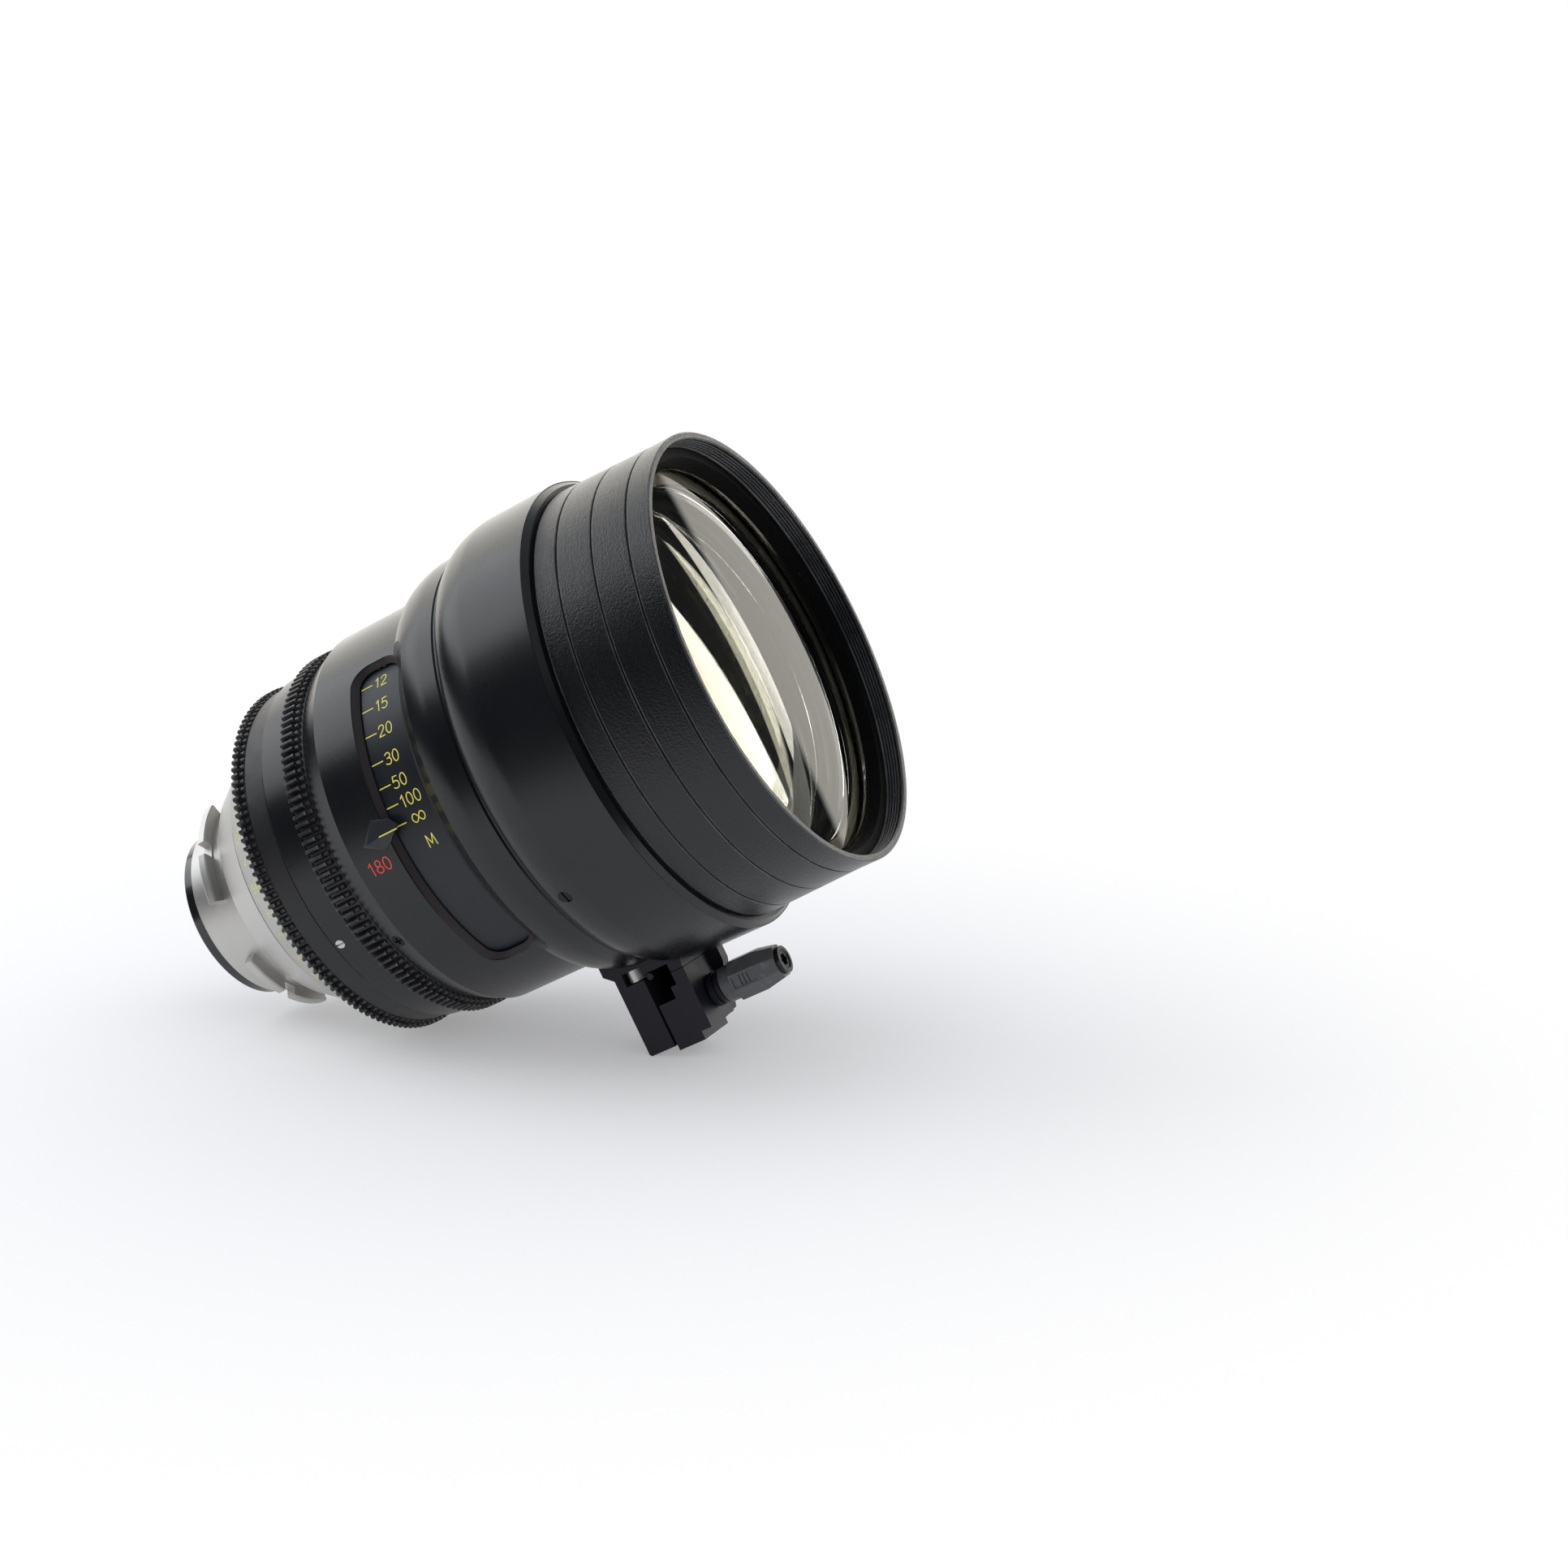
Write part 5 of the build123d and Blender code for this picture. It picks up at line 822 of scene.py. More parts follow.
def gear_ring(name, body, teeth, pitch, start, teeth_end, step_end, step_radius, rest):
    """A toothed ring. Its section goes round a closed outline, and where the section is in
    the toothed part, the radius is the smaller of the tooth's outline at that angle and the
    section's own limit there. rest is the section's plain part, as (station, radius)."""
    module = 2 * pitch / teeth
    tip, root = pitch + module, pitch - 1.25 * module
    heights = np.array([
        root, root + ROOT_EASE, tip - TIP_EASE, tip, tip, tip - TIP_EASE, root + ROOT_EASE, root,
    ])
    tooth = np.arange(teeth)[:, None]
    angle = (2 * math.pi * (tooth + TOOTH_SHARES) / teeth).ravel()
    height = np.tile(heights, teeth)
    ease = END_EASE
    toothed = [  # station, limit of the radius, wear
        (start, tip - ease, 0.0), (start + ease, tip, 1.0), (start + 2 * ease, tip, 0.15),
        (teeth_end - 2 * ease, tip, 0.15), (teeth_end - ease / 2, tip, 1.0),
        (teeth_end, tip - ease / 2, 0.6), (teeth_end, step_radius, 0.0),
        (step_end - ease, step_radius, 0.1), (step_end, step_radius - ease, 0.6),
    ]
    section = np.array(toothed + [(x, r, 0.0) for x, r in rest])
    count = len(toothed)
    radii = np.repeat(section[:, 1, None], len(angle), axis=1)
    radii[:count] = np.minimum(height[None, :], section[:count, 1, None])
    points = polar(section[:, 0, None], radii, angle[None, :])
    lands = (height > tip - 0.2)[None, :] * section[:, 2, None]
    quads = wrapped_quads(len(section), len(angle))
    if signed_volume(points.reshape(-1, 3), quads) < 0:
        quads = quads[:, ::-1]
    piece = make_piece(
        name, points, quads.tolist(), [gear_anodise()], None, {"wear": lands}, sharp=25
    )
    settle(piece, body, [body + "_ring"])


# Engraved marks: each glyph is a set of strokes in a box of height 1

LOOP_POINTS = 28
SPAN_POINTS = 8
GLYPH_GAP = 0.16
STROKE_SECTION = 6


def loop(centre_x, centre_y, reach_x, reach_y):
    """A closed ellipse: centre plus (a cos t, b sin t)."""
    t = np.linspace(0, 2 * math.pi, LOOP_POINTS, endpoint=False)
    return np.stack([centre_x + reach_x * np.cos(t), centre_y + reach_y * np.sin(t)], axis=1)


def curve(*points):
    """A smooth stroke through its points: each span is a cubic whose ends lean along the
    chords between the neighbours (Catmull-Rom)."""
    known = np.array([points[0], *points, points[-1]], float)
    t = np.linspace(0, 1, SPAN_POINTS, endpoint=False)[:, None]
    spans = []
    for a, b, c, d in zip(known, known[1:], known[2:], known[3:]):
        spans.append(
            0.5 * (2 * b + (c - a) * t + (2 * a - 5 * b + 4 * c - d) * t ** 2
                   + (3 * b - a - 3 * c + d) * t ** 3)
        )
    return np.concatenate([*spans, known[-1:]])


def line(*points):
    """A stroke of straight runs."""
    return np.array(points, float)


def straights(*points):
    """Straight strokes from point to point, each with ends of its own."""
    return [(False, line(*pair)) for pair in zip(points, points[1:])]


def glyph_strokes():
    """The engraver's strokes for the scales: each glyph's width and its (closed, points)
    pairs. Infinity is a figure of eight: (cos t, sin t cos t) with its ends filled out."""
    t = np.linspace(0, 2 * math.pi, 48, endpoint=False)
    lemniscate = np.stack(
        [0.62 + 0.62 * np.cos(t) / (1 + np.sin(t) ** 2) ** 0.6,
         0.5 + 0.72 * np.sin(t) * np.cos(t)], axis=1,
    )
    return {
        "0": (0.60, [(True, loop(0.30, 0.5, 0.27, 0.5))]),
        ".": (0.10, [(False, line((0.05, 0.0), (0.05, 0.03)))]),
        "1": (0.42, straights((0.06, 0.78), (0.26, 1.0), (0.26, 0.0))),
        "2": (0.60, [(False, curve((0.05, 0.76), (0.12, 0.94), (0.31, 1.0), (0.50, 0.92),
                                   (0.54, 0.72), (0.44, 0.50), (0.22, 0.25), (0.04, 0.0))),
                     (False, line((0.04, 0.0), (0.57, 0.0)))]),
        "3": (0.60, [(False, curve((0.06, 0.88), (0.28, 1.0), (0.50, 0.90), (0.52, 0.68),
                                   (0.40, 0.56), (0.22, 0.54))),
                     (False, curve((0.22, 0.54), (0.46, 0.50), (0.57, 0.28), (0.48, 0.06),
                                   (0.26, 0.0), (0.03, 0.12)))]),
        "4": (0.62, straights((0.42, 0.0), (0.42, 1.0), (0.03, 0.30), (0.58, 0.30))),
        "5": (0.60, [*straights((0.52, 1.0), (0.14, 1.0), (0.08, 0.56)),
                     (False, curve((0.08, 0.56), (0.28, 0.63), (0.50, 0.54), (0.57, 0.30),
                                   (0.48, 0.07), (0.26, 0.0), (0.03, 0.10)))]),
        "6": (0.60, [(False, curve((0.50, 0.96), (0.30, 0.96), (0.10, 0.72), (0.04, 0.38),
                                   (0.12, 0.07), (0.32, 0.0), (0.53, 0.12), (0.56, 0.36),
                                   (0.42, 0.56), (0.22, 0.56), (0.06, 0.36)))]),
        "7": (0.60, straights((0.04, 1.0), (0.56, 1.0), (0.22, 0.0))),
        "8": (0.60, [(True, loop(0.30, 0.76, 0.21, 0.24)),
                     (True, loop(0.30, 0.26, 0.27, 0.26))]),
        "9": (0.60, [(False, curve((0.10, 0.04), (0.30, 0.04), (0.50, 0.28), (0.56, 0.62),
                                   (0.48, 0.93), (0.28, 1.0), (0.07, 0.88), (0.04, 0.64),
                                   (0.18, 0.44), (0.38, 0.44), (0.54, 0.64)))]),
        "o": (1.30, [(True, lemniscate)]),
        "M": (0.78, straights((0.0, 0.0), (0.08, 1.0), (0.39, 0.22), (0.70, 1.0), (0.78, 0.0))),
    }


GLYPHS = glyph_strokes()


def stroke_mesh(path, closed, width, height, place):
    """A filled stroke: a low round-topped section carried along a flat path, widened by its
    half width and thinned at open ends. place turns flat (u, v) and a height into points."""
    if closed:
        lean = np.roll(path, -1, 0) - np.roll(path, 1, 0)
        swell = np.ones(len(path))
    else:
        first = path[0] - path[1]
        last = path[-1] - path[-2]
        first, last = (step / np.linalg.norm(step) * width / 2 for step in (first, last))
        path = np.concatenate([
            [path[0] + first], [path[0] + 0.7 * first], path,
            [path[-1] + 0.7 * last], [path[-1] + last],
        ])
        lean = np.gradient(path, axis=0)
        swell = np.ones(len(path))
        swell[[0, -1]], swell[[1, -2]] = 0.12, 0.68
    lean = lean / np.maximum(np.linalg.norm(lean, axis=1, keepdims=True), 1e-9)
    side = np.stack([-lean[:, 1], lean[:, 0]], axis=1)
    t = np.linspace(0, math.pi, STROKE_SECTION)
    across = np.cos(t)[None, :, None] * side[:, None, :] * (swell * width / 2)[:, None, None]
    flat = path[:, None, :] + across
    rise = np.sin(t)[None, :] ** 0.5 * height * swell[:, None]
    rise[:, [0, -1]] = -height
    points = place(flat[..., 0], flat[..., 1], rise)
    quads = wrapped_quads(len(path), STROKE_SECTION, closed)
    faces = quads.tolist()
    if not closed:
        last_row = (len(path) - 1) * STROKE_SECTION
        faces.append(list(range(STROKE_SECTION)))
        faces.append(list(range(last_row, last_row + STROKE_SECTION))[::-1])
    return points.reshape(-1, 3), faces


class Engraver:
    """Collects the strokes of one colour on one round surface into one mesh. On the flat,
    u runs along the axis and v back round it, in millimetres."""

    def __init__(self, radius):
        """radius gives the surface's radius at a station, both in millimetres."""
        self.radius = radius
        self.points, self.faces, self.count = [], [], 0

    def stroke(self, path, closed, width, station, angle):
        """Wraps a flat stroke onto the surface about a station and an angle in degrees: a
        point's angle is that angle less v over the radius."""

        def place(u, v, rise):
            radius = self.radius(station + u)
            return polar(station + u, radius + rise, math.radians(angle) - v / radius)

        points, faces = stroke_mesh(path, closed, width, sizes().fill_height / MM, place)
        self.points.append(points)
        self.faces += [[index + self.count for index in face] for face in faces]
        self.count += len(points)

    def tick(self, first, last, angle, width):
        """A straight mark along the axis."""
        middle = (first + last) / 2
        steps = np.linspace(0, 1, 6)
        path = np.stack([first + steps * (last - first) - middle, 0 * steps], axis=1)
        self.stroke(path, False, width, middle, angle)

    def word(self, text, station, angle, height, width):
        """Glyphs set in a row about their middle."""
        advance = [GLYPHS[letter][0] + GLYPH_GAP for letter in text]
        start = -(sum(advance) - GLYPH_GAP) / 2
        for letter, step in zip(text, advance):
            for closed, stroke in GLYPHS[letter][1]:
                self.stroke((stroke + (start, -0.5)) * height, closed, width, station, angle)
            start += step

    def fill(self, name, material, body, slot):
        """Makes the mesh, with its faces outwards."""
        mesh = bpy.data.meshes.new(name)
        mesh.from_pydata(np.concatenate(self.points).tolist(), [], self.faces)
        mesh.materials.append(material)
        outward(mesh)
        mesh.shade_smooth()
        mesh.set_sharp_from_angle(angle=math.radians(50))
        piece = bpy.data.objects.new(name, mesh)
        bpy.context.scene.collection.objects.link(piece)
        settle(piece, body, [])


# Sizes of this lens's own pieces, in millimetres

SLEEVE_RADIUS = 55.4
BARREL_RADIUS = 57.8
WITNESS_RADIUS = 58.6
INDEX_ANGLE = 90.0

IRIS_STOPS = ("2", "2.8", "4", "5.6", "8", "11", "16", "22")
IRIS_FIRST, IRIS_STEP = 58, 9.5  # degrees

# Distances in metres on the focus sleeve, with their angles at rest
FOCUS_SCALE = (
    ("3.5", -30.0), ("4", -18.8), ("4.5", -9.5), ("5", -1.7), ("6", 10.7), ("7", 20.1),
    ("8", 27.6), ("9", 33.6), ("10", 38.7), ("12", 45.7), ("15", 53.9), ("20", 62.2),
    ("30", 70.9), ("50", 78.1), ("100", 83.9), ("o", 89.6),
)

HOOD_BORE, HOOD_SKIN, HOOD_TAPER = 62.15, 64.35, 0.9
HOOD_SHOULDER, HOOD_LAST_GROOVE, HOOD_MOUTH = 144.9, 174.3, 181.5
HOOD_GROOVES = (152.3, 163.3, HOOD_LAST_GROOVE)
THREAD_PITCH, THREAD_RIDGES = 0.9, 5

# Glasses: name, rear, front, radius, rear bulge, front bulge, body, nose, and the width of the
# lacquered band that carries a painted reflection
GLASSES = (
    ("front_element", 160.5, 167.5, 60.3, 4.2, 0.8, "lens", 4.5, 3.5),
    ("second_element", 150.0, 155.0, 60.3, 5.6, 7.8, "lens"),
    ("focus_front_element", 86.0, 90.0, 45.1, -2.5, 5.0, "focus_group"),
    ("focus_rear_element", 65.5, 69.5, 45.1, -3.0, 1.5, "focus_group"),
    ("rear_inner_element", 13.9, 17.9, 22.2, -3.0, 1.0, "lens"),
    ("rear_element", -10.1, -7.1, 22.2, 1.0, 2.2, "lens"),
)


def iris_cone(station):
    """Radius of the grey iris scale: a cone that widens by 0.8 for each step forwards."""
    return 43.8 + (station - 20.55) * 0.8


def make_wedge():
    """The index wedge: a six-sided foot with upright walls, and two long facets that meet
    in a ridge under the witness line. Corners are (station, angle) at a radius each."""
    outline = np.array(
        [(68.5, 90.8), (74.2, 93.9), (76.6, 92.8), (81.3, 89.0), (79.3, 86.5), (73.8, 85.1)]
    )
    ridge = np.array([(69.8, 90.6), (80.9, 89.4)])
    foot, shoulder, crest = 57.5, 58.0, np.array([58.5, 58.62])
    angle = np.radians(outline[:, 1])
    points = np.concatenate([
        polar(outline[:, 0], foot, angle), polar(outline[:, 0], shoulder, angle),
        polar(ridge[:, 0], crest, np.radians(ridge[:, 1])),
    ])
    walls = [(i, (i + 1) % 6, (i + 1) % 6 + 6, i + 6) for i in range(6)]
    facets = [(6, 7, 12), (7, 8, 13, 12), (8, 9, 13), (9, 10, 13), (10, 11, 12, 13), (11, 6, 12)]
    piece = make_piece(
        "index_ridge", points, [*walls, *facets, (5, 4, 3, 2, 1, 0)], [wedge_anodise_painted_sheen()], sharp=10
    )
    outward(piece.data)
    bevel = piece.modifiers.new("edges", "BEVEL")
    bevel.width, bevel.segments, bevel.limit_method = 0.12 * MM, 3, "ANGLE"
    bevel.angle_limit = math.radians(8)
    settle(piece, "lens", ["index_wedge"])


def hood_outline():
    """The hood's section as (station, radius): a stepped shoulder, a slightly tapered skin
    with its grooves, a broken rim, and the ridges of the filter thread."""

    def skin(station):
        share = (HOOD_LAST_GROOVE - station) / (HOOD_LAST_GROOVE - HOOD_SHOULDER)
        return HOOD_SKIN + HOOD_TAPER * share

    outline = [
        (136.3, HOOD_BORE), (136.3, 64.5), (HOOD_SHOULDER, 64.5), (HOOD_SHOULDER, 64.95),
        (HOOD_SHOULDER + 0.3, 65.25),
    ]
    wide = deep = 0.5
    for front in HOOD_GROOVES:
        floor = skin(front) - deep
        outline += [
            (front - wide, skin(front - wide)), (front - wide, floor), (front, floor),
            (front, skin(front)),
        ]
    outline += [
        (HOOD_MOUTH - 0.3, HOOD_SKIN), (HOOD_MOUTH, HOOD_SKIN - 0.3), (HOOD_MOUTH, 62.75),
        (HOOD_MOUTH - 0.6, HOOD_BORE),
    ]
    for ridge in range(THREAD_RIDGES):
        valley = HOOD_MOUTH - (ridge + 1) * THREAD_PITCH
        outline += [(valley - 0.45, 62.60), (valley - 0.88, HOOD_BORE)]
    return outline


# Operators, one for each piece or group of like pieces

class LENS_OT_dress_mount(bpy.types.Operator):
    """Bayonet mount, its screws and shim, and the black ring behind the spigot"""

    bl_idname = "lens.dress_mount"
    bl_label = "Dress mount"
    bl_options = {"REGISTER", "UNDO"}

    def execute(self, context):
        dress(mount_steel(), "pl_mount", "mount_shim")
        dress(screw_steel(), "mount_screws")
        dress(baffle_gloss(), "rear_baffle_ring")
        return {"FINISHED"}


class LENS_OT_make_iris_rings(bpy.types.Operator):
    """Grey iris scale ring with its marks, and the iris gear ring"""

    bl_idname = "lens.make_iris_rings"
    bl_label = "Make iris rings"
    bl_options = {"REGISTER", "UNDO"}

    def execute(self, context):
        dress(scale_aluminium(), "iris_scale_ring")
        yellow, green = Engraver(iris_cone), Engraver(iris_cone)
        for index, text in enumerate(IRIS_STOPS):
            angle = IRIS_FIRST + IRIS_STEP * index
            yellow.tick(27.6, 29.3, angle, 0.3)
            yellow.word(text, 24.9, angle, 2.3, 0.28)
            green.tick(27.9, 29.3, angle + IRIS_STEP / 2, 0.3)
        yellow.fill("iris_marks", yellow_paint(), "iris", "scale_grey")
        green.fill("iris_half_marks", green_paint(), "iris", "scale_grey")
        gear_ring(
            "iris_gear", "iris", teeth=134, pitch=53.6, start=30.35, teeth_end=32.75,
            step_end=34.35, step_radius=53.6, rest=[
                (34.35, 51.6), (34.35, 53.0), (34.55, 53.2), (40.70, 53.2), (40.95, 52.95),
                (40.95, 50.0), (33.35, 50.0), (33.35, 42.55), (40.95, 42.55), (40.95, 40.05),
                (30.35, 40.05),
            ],
        )
        return {"FINISHED"}


class LENS_OT_make_focus_ring(bpy.types.Operator):
    """Focus gear ring"""

    bl_idname = "lens.make_focus_ring"
    bl_label = "Make focus ring"
    bl_options = {"REGISTER", "UNDO"}

    def execute(self, context):
        gear_ring(
            "focus_gear", "focus", teeth=140, pitch=56.0, start=50.40, teeth_end=54.80,
            step_end=56.40, step_radius=56.0,
            rest=[(56.40, 55.0), (57.20, 55.0), (57.20, 51.05), (50.40, 51.05)],
        )
        return {"FINISHED"}


class LENS_OT_dress_band(bpy.types.Operator):
    """Fixed band between the gear rings, with its slotted screws"""

    bl_idname = "lens.dress_band"
    bl_label = "Dress band"
    bl_options = {"REGISTER", "UNDO"}

    def execute(self, context):
        dress(barrel_anodise(), "rear_band")
        dress(screw_steel(), "rear_band_screws")
        return {"FINISHED"}


class LENS_OT_make_focus_scale(bpy.types.Operator):
    """Focus sleeve with its distance marks and numerals"""

    bl_idname = "lens.make_focus_scale"
    bl_label = "Make focus scale"
    bl_options = {"REGISTER", "UNDO"}

    def execute(self, context):
        dress(sleeve_anodise(), "focus_sleeve")
        height, width = sizes().numeral_height / MM, sizes().numeral_stroke / MM
        marks = Engraver(lambda station: SLEEVE_RADIUS)
        for text, angle in FOCUS_SCALE:
            marks.tick(78.7, 82.3, angle, width)
            station = 86.7 if text in ("100", "o") else 85.4
            marks.word(text, station, angle, height, width)
        marks.word("M", 86.7, 97.0, height, width)
        marks.fill("focus_marks", yellow_paint(), "focus", "scale_dark")
        return {"FINISHED"}


class LENS_OT_make_barrel(bpy.types.Operator):
    """Main barrel, its screws, glide ring and index wedge, with the line and focal length"""

    bl_idname = "lens.make_barrel"
    bl_label = "Make barrel"
    bl_options = {"REGISTER", "UNDO"}

    def execute(self, context):
        dress(barrel_anodise(), "main_barrel")
        make_wedge()
        dress(screw_black(), "barrel_screws")
        dress(glide_plastic(), "glide_ring")
        witness = Engraver(lambda station: WITNESS_RADIUS)
        witness.tick(74.8, 80.7, INDEX_ANGLE, sizes().numeral_stroke / MM)
        witness.fill("index_line", yellow_paint(), "lens", "barrel_black")
        number = Engraver(lambda station: BARREL_RADIUS)
        number.word("180", 70.3, INDEX_ANGLE + 7.1, 3.6, 0.38)
        number.fill("focal_length", red_paint(), "lens", "barrel_black")
        return {"FINISHED"}


class LENS_OT_dress_housing(bpy.types.Operator):
    """Front housing with its slotted screws"""

    bl_idname = "lens.dress_housing"
    bl_label = "Dress housing"
    bl_options = {"REGISTER", "UNDO"}

    def execute(self, context):
        dress(barrel_anodise(), "front_housing")
        dress(screw_black(), "housing_screws")
        return {"FINISHED"}


class LENS_OT_make_hood(bpy.types.Operator):
    """Front hood with its three grooves, broken rims and the filter thread"""

    bl_idname = "lens.make_hood"
    bl_label = "Make hood"
    bl_options = {"REGISTER", "UNDO"}

    def execute(self, context):
        turned("hood", hood_outline(), hood_anodise(), "lens", ["front_hood"])
        return {"FINISHED"}


class LENS_OT_make_glasses(bpy.types.Operator):
    """Front, inner, focusing and rear glasses with their cells, spacers and retainers"""

    bl_idname = "lens.make_glasses"
    bl_label = "Make glasses"
    bl_options = {"REGISTER", "UNDO"}

    def execute(self, context):
        for glass in GLASSES:
            make_glass(*glass)
        dress(
            inner_black(), "front_cell", "front_spacer", "front_retainer", "focus_cell",
            "focus_spacer", "focus_retainer", "rear_cell", "rear_spacer",
        )
        return {"FINISHED"}


class LENS_OT_dress_inside(bpy.types.Operator):
    """Tubes, light baffle, iris and cam rollers inside the lens"""

    bl_idname = "lens.dress_inside"
    bl_label = "Dress inside"
    bl_options = {"REGISTER", "UNDO"}

    def execute(self, context):
        dress(
            inner_black(), "guide_tube", "light_baffle", "iris_carrier", "iris_cover",
            "iris_drive_ring",
        )
        dress(screw_steel(), "iris_drive_pin", "cam_rollers")
        dress(blade_steel(), *(f"iris_blade_{number}" for number in range(1, 9)))
        return {"FINISHED"}


class LENS_OT_dress_foot(bpy.types.Operator):
    """Support foot: saddle, cap screws, cross pin and clamp jaw"""

    bl_idname = "lens.dress_foot"
    bl_label = "Dress foot"
    bl_options = {"REGISTER", "UNDO"}

    def execute(self, context):
        dress(foot_anodise(), "foot_saddle", "clamp_jaw")
        dress(screw_zinc(), "foot_bolts")
        dress(screw_black(), "foot_cross_pin")
        return {"FINISHED"}


class LENS_OT_dress_knob(bpy.types.Operator):
    """Clamp screw with its collar, moulded knob, cap and end screw"""

    bl_idname = "lens.dress_knob"
    bl_label = "Dress knob"
    bl_options = {"REGISTER", "UNDO"}

    def execute(self, context):
        dress(foot_anodise(), "clamp_collar")
        dress(screw_steel(), "clamp_screw")
        dress(moulded_plastic(), "clamp_knob")
        dress(ring_anodise(), "knob_cap")
        dress(screw_black(), "knob_end_screw")
        return {"FINISHED"}


# Stage: floor, world, light and camera, in metres

UP = Vector((0.45940, 0.0, 0.88820)).normalized()
RIGHT = Vector((0.83658, 0.33601, -0.43270)).normalized()
AWAY = UP.cross(RIGHT).normalized()
LENS_MIDDLE = Vector((0.09, 0.0, 0.0))
FLOOR_POINT = Vector((0.0303, 0.0, -0.0545))
FLOOR_REACH = 3.0
SHADOW_MIDDLE = (0.06, 0.0, -0.07)
SWEEP_EDGE = AWAY * 0.629 - RIGHT * 0.657 - UP * 0.416  # points into the white sweep
CAMERA_PLACE = Vector((0.443945, -0.681647, -0.021497))
CAMERA_TURN = Quaternion((0.71306472, 0.64017411, 0.28513255, -0.02037727))
SENSOR = 36.0  # millimetres
FOCAL_SHARE = 3283.34 / 1932  # focal length as a share of the frame's width


def from_lens(side, height, distance):
    """A place seen from the lens: side is degrees to the right of the camera, height is
    degrees above the horizon."""
    turn, lift = math.radians(side), math.radians(height)
    level = RIGHT * math.sin(turn) - AWAY * math.cos(turn)
    return LENS_MIDDLE + distance * (level * math.cos(lift) + UP * math.sin(lift))


def softbox(name, place, width, height, level):
    """An area light that faces the lens. level is what a white card facing it at the lens
    would show, so the power is pi squared times level times distance squared."""
    aim = LENS_MIDDLE - place
    light = bpy.data.lights.new(name, "AREA")
    light.shape, light.size, light.size_y = "RECTANGLE", width, height
    light.energy = math.pi ** 2 * level * aim.length ** 2
    light.color = (0.93, 0.97, 1.0)
    lamp = bpy.data.objects.new(name, light)
    lamp.matrix_world = Matrix.Translation(place) @ (
        aim.to_track_quat("-Z", "Y").to_matrix().to_4x4()
    )
    bpy.context.scene.collection.objects.link(lamp)


def white_floor():
    """White floor, one-sided, that fades into the background away from the lens. A part of
    the background's white shows everywhere in it, so its shadow stays pale. Gloss shows it
    dark where it reaches out of the light, in front of the lens."""
    f = Finish(bpy.data.materials.new("white_floor"))
    distance = f.node(
        "ShaderNodeVectorMath", {"operation": "DISTANCE"}, {0: f.place, 1: SHADOW_MIDDLE}
    ).outputs["Value"]
    far = 0.28 + 0.72 * f.step(Value(f, distance), 0.12, 0.32)
    grain = f.noise(500.0, 3.0)
    card = f.node(
        "ShaderNodeBsdfDiffuse", None,
        {"Color": f.mix(grain, (0.925, 0.935, 0.955), (0.94, 0.95, 0.97))},
    )
    shown = f.ray("Is Camera Ray") + f.ray("Is Glossy Ray") + f.ray("Is Transmission Ray")
    shown = f.maths("MINIMUM", shown, 1.0)
    lit = f.blend(far * shown, card, f.light("Emission", WHITE, 1.0))
    dark = f.step(f.along(f.place, -AWAY), 0.20, 0.42) * f.ray("Is Glossy Ray")
    lit = f.blend(dark, lit, f.light("Emission", WHITE, 0.05))
    back = f.node("ShaderNodeNewGeometry").outputs["Backfacing"]
    sheet = f.blend(back, lit, f.node("ShaderNodeBsdfTransparent"))
    f.node("ShaderNodeOutputMaterial", None, {"Surface": sheet.outputs[0]})
    return f.owner


def make_floor():
    """A square floor that the lens stands on."""
    corners = np.array([(-1, -1), (1, -1), (1, 1), (-1, 1)]) * FLOOR_REACH
    right, away = np.array(RIGHT), np.array(AWAY)
    points = np.array(FLOOR_POINT) + corners[:, :1] * right + corners[:, 1:] * away
    floor = make_piece("floor", points, [(0, 1, 2, 3)], [white_floor()])


def surroundings(f):
    """The colour and level of the light that gloss shows from each direction: the white
    sweep behind the lens, dim in front of it, paler above, and a bright panel to the
    right, which shows brighter through the glasses."""
    direction = f.node("ShaderNodeTexCoord").outputs["Generated"]

    def towards(side):
        """How far a direction leans to a side, in degrees from the camera's right."""
        turn = math.radians(side)
        return f.along(direction, RIGHT * math.cos(turn) + AWAY * math.sin(turn))

    lift = f.along(direction, UP)
    sweep = f.step(f.along(direction, SWEEP_EDGE), -0.003, 0.006)
    sweep = sweep * (1.0 - f.step(lift, 0.55, 0.80)) * (1.0 - f.step(towards(-132), -0.1, 0.1))
    panel = f.step(towards(98), 0.0, 0.02) * (1.0 - f.step(towards(124), 0.0, 0.02))
    panel = panel * f.step(lift, -0.05, 0.0) * (1.0 - f.step(lift, 0.82, 0.88))
    colour = f.mix(f.maths("MAXIMUM", sweep, panel), (0.88, 0.95, 1.0), (1.0, 0.975, 0.915))
    through = f.ray("Is Transmission Ray")
    glow = sweep * (1.8 + through * 3.5) + panel * (5.0 + through * 15.0)
    return colour, 0.03 + f.step(lift, 0.50, 0.90) * 0.30 + glow


def make_world():
    """Gloss and glass show the surroundings, the camera a plain white, and all else an
    even pale light."""
    world = bpy.data.worlds.new("studio")
    bpy.context.scene.world = world
    f = Finish(world)
    mirrored = f.light("Background", *surroundings(f))
    even = f.light("Background", (0.84, 0.85, 0.87), 1.0)
    gloss = f.maths("MAXIMUM", f.ray("Is Glossy Ray"), f.ray("Is Transmission Ray"))
    sky = f.blend(gloss, even, mirrored)
    sky = f.blend(f.ray("Is Camera Ray"), sky, f.light("Background", WHITE, 1.0))
    f.node("ShaderNodeOutputWorld", None, {"Surface": sky.outputs[0]})


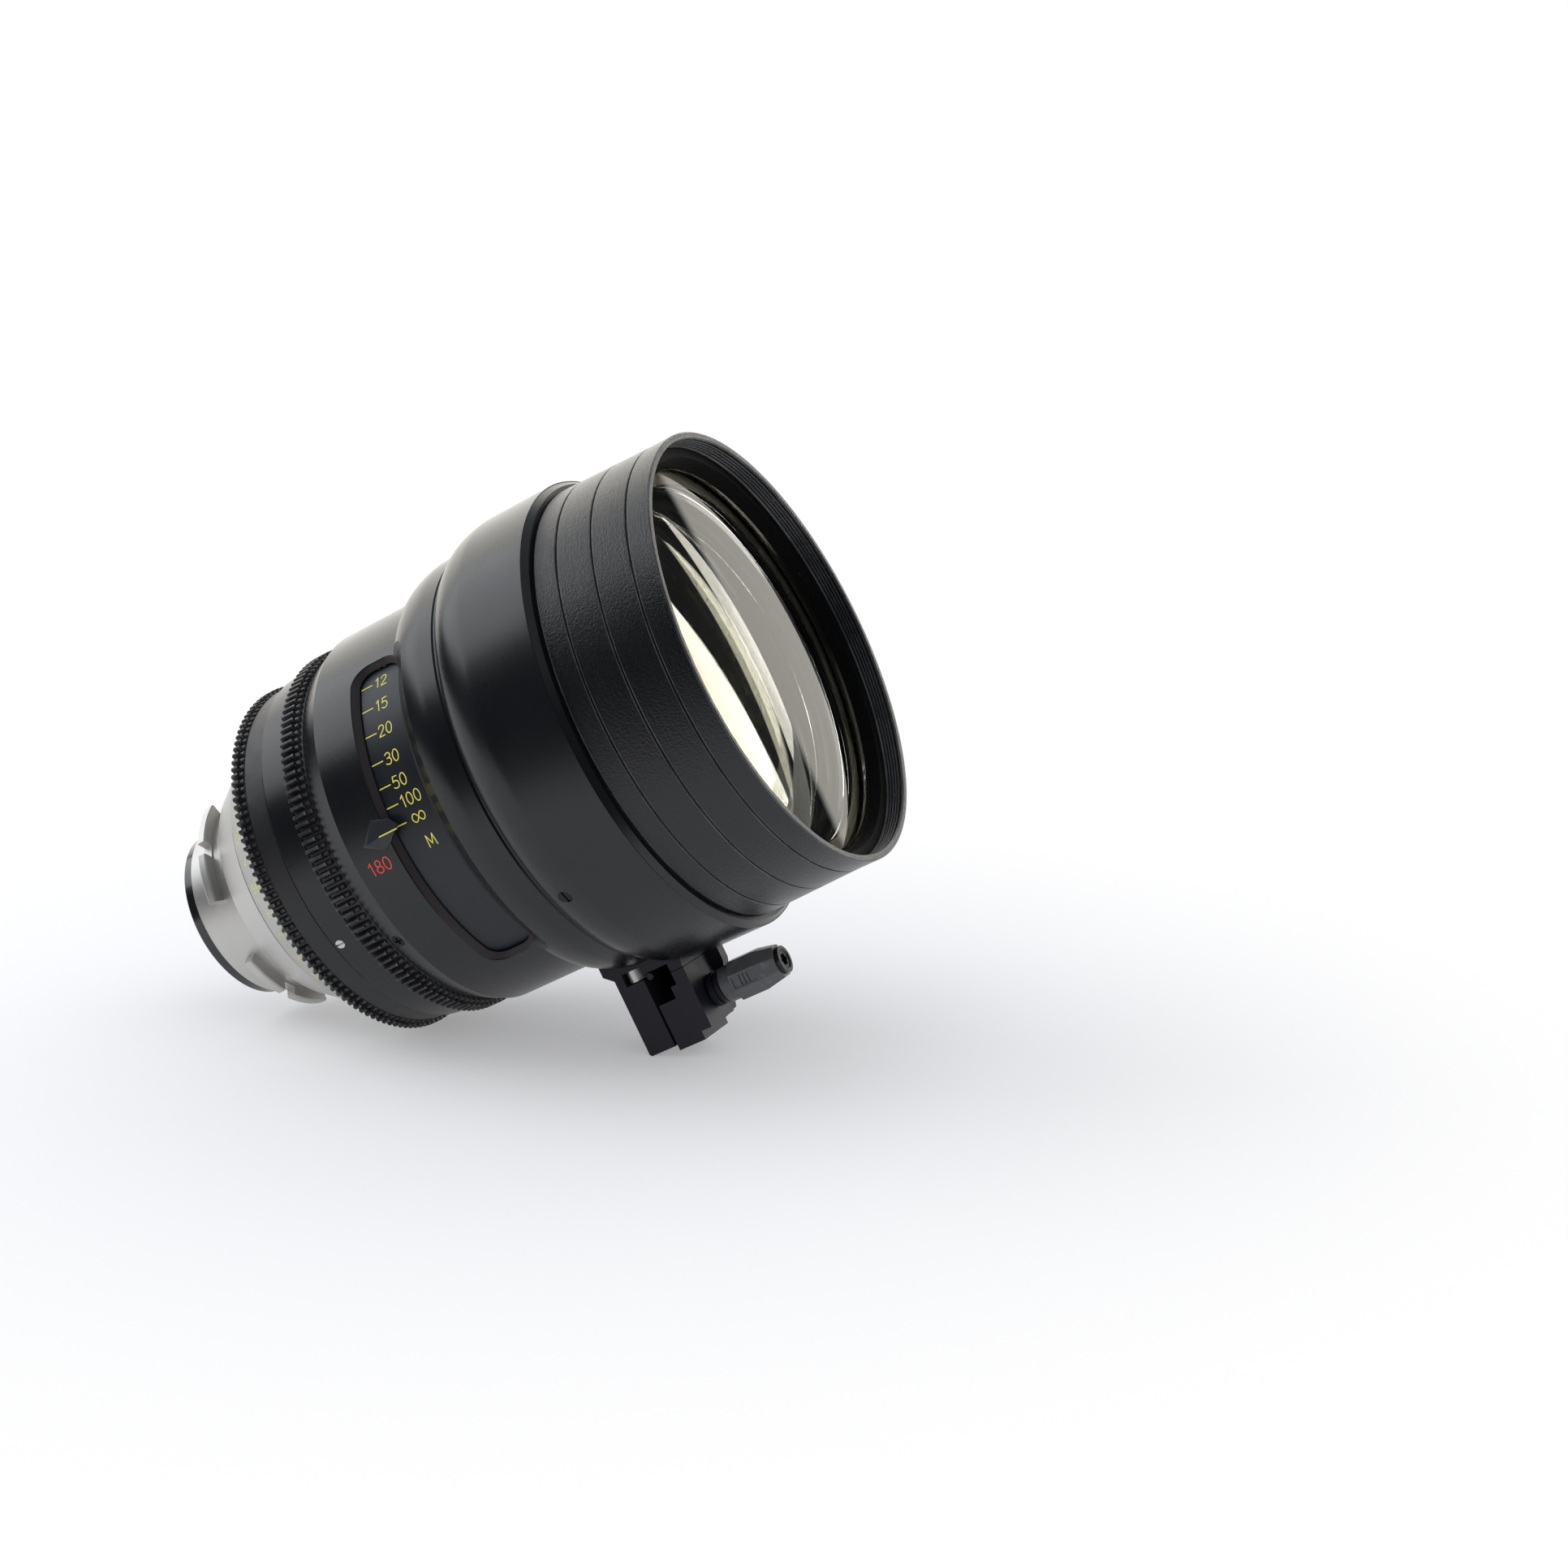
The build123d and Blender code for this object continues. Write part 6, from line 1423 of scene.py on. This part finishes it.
def place_camera():
    """The photograph's camera, fitted to the circles of the lens."""
    scene = bpy.context.scene
    lens = bpy.data.cameras.new("camera")
    lens.sensor_width = SENSOR
    lens.lens = SENSOR * FOCAL_SHARE
    lens.clip_start = 0.01
    camera = bpy.data.objects.new("camera", lens)
    camera.matrix_world = Matrix.Translation(CAMERA_PLACE) @ CAMERA_TURN.to_matrix().to_4x4()
    scene.collection.objects.link(camera)
    scene.camera = camera


class LENS_OT_set_stage(bpy.types.Operator):
    """Floor, world, soft light and the camera"""

    bl_idname = "lens.set_stage"
    bl_label = "Set stage"
    bl_options = {"REGISTER", "UNDO"}

    def execute(self, context):
        context.scene.view_settings.view_transform = "Standard"
        make_floor()
        make_world()
        softbox("key", from_lens(-102, 33, 1.2), width=1.00, height=0.60, level=0.31)
        place_camera()
        return {"FINISHED"}


OPERATORS = (
    LENS_OT_set_stage, LENS_OT_dress_mount, LENS_OT_make_iris_rings, LENS_OT_make_focus_ring,
    LENS_OT_dress_band, LENS_OT_make_focus_scale, LENS_OT_make_barrel, LENS_OT_dress_housing,
    LENS_OT_make_hood, LENS_OT_make_glasses, LENS_OT_dress_inside, LENS_OT_dress_foot,
    LENS_OT_dress_knob,
)


class LENS_PT_panel(bpy.types.Panel):
    """Lists the sizes and colours, and the operators that use them."""

    bl_idname = "LENS_PT_panel"
    bl_label = "Prime lens"
    bl_space_type = "VIEW_3D"
    bl_region_type = "UI"
    bl_category = "Prime lens"

    def draw(self, context):
        layout = self.layout
        for group in (context.scene.lens_sizes, context.scene.lens_colours):
            for name in type(group).__annotations__:
                layout.prop(group, name)
        for operator in OPERATORS:
            layout.operator(operator.bl_idname)


CLASSES = (LensSizes, LensColours, *OPERATORS, LENS_PT_panel)


def register():
    for entry in CLASSES:
        bpy.utils.register_class(entry)
    bpy.types.Scene.lens_sizes = bpy.props.PointerProperty(type=LensSizes)
    bpy.types.Scene.lens_colours = bpy.props.PointerProperty(type=LensColours)


def unregister():
    del bpy.types.Scene.lens_colours
    del bpy.types.Scene.lens_sizes
    for entry in reversed(CLASSES):
        bpy.utils.unregister_class(entry)


def main():
    """Makes the lens."""
    register()
    for operator in OPERATORS:
        group, name = operator.bl_idname.split(".")
        getattr(getattr(bpy.ops, group), name)()


if __name__ == "__main__":
    main()
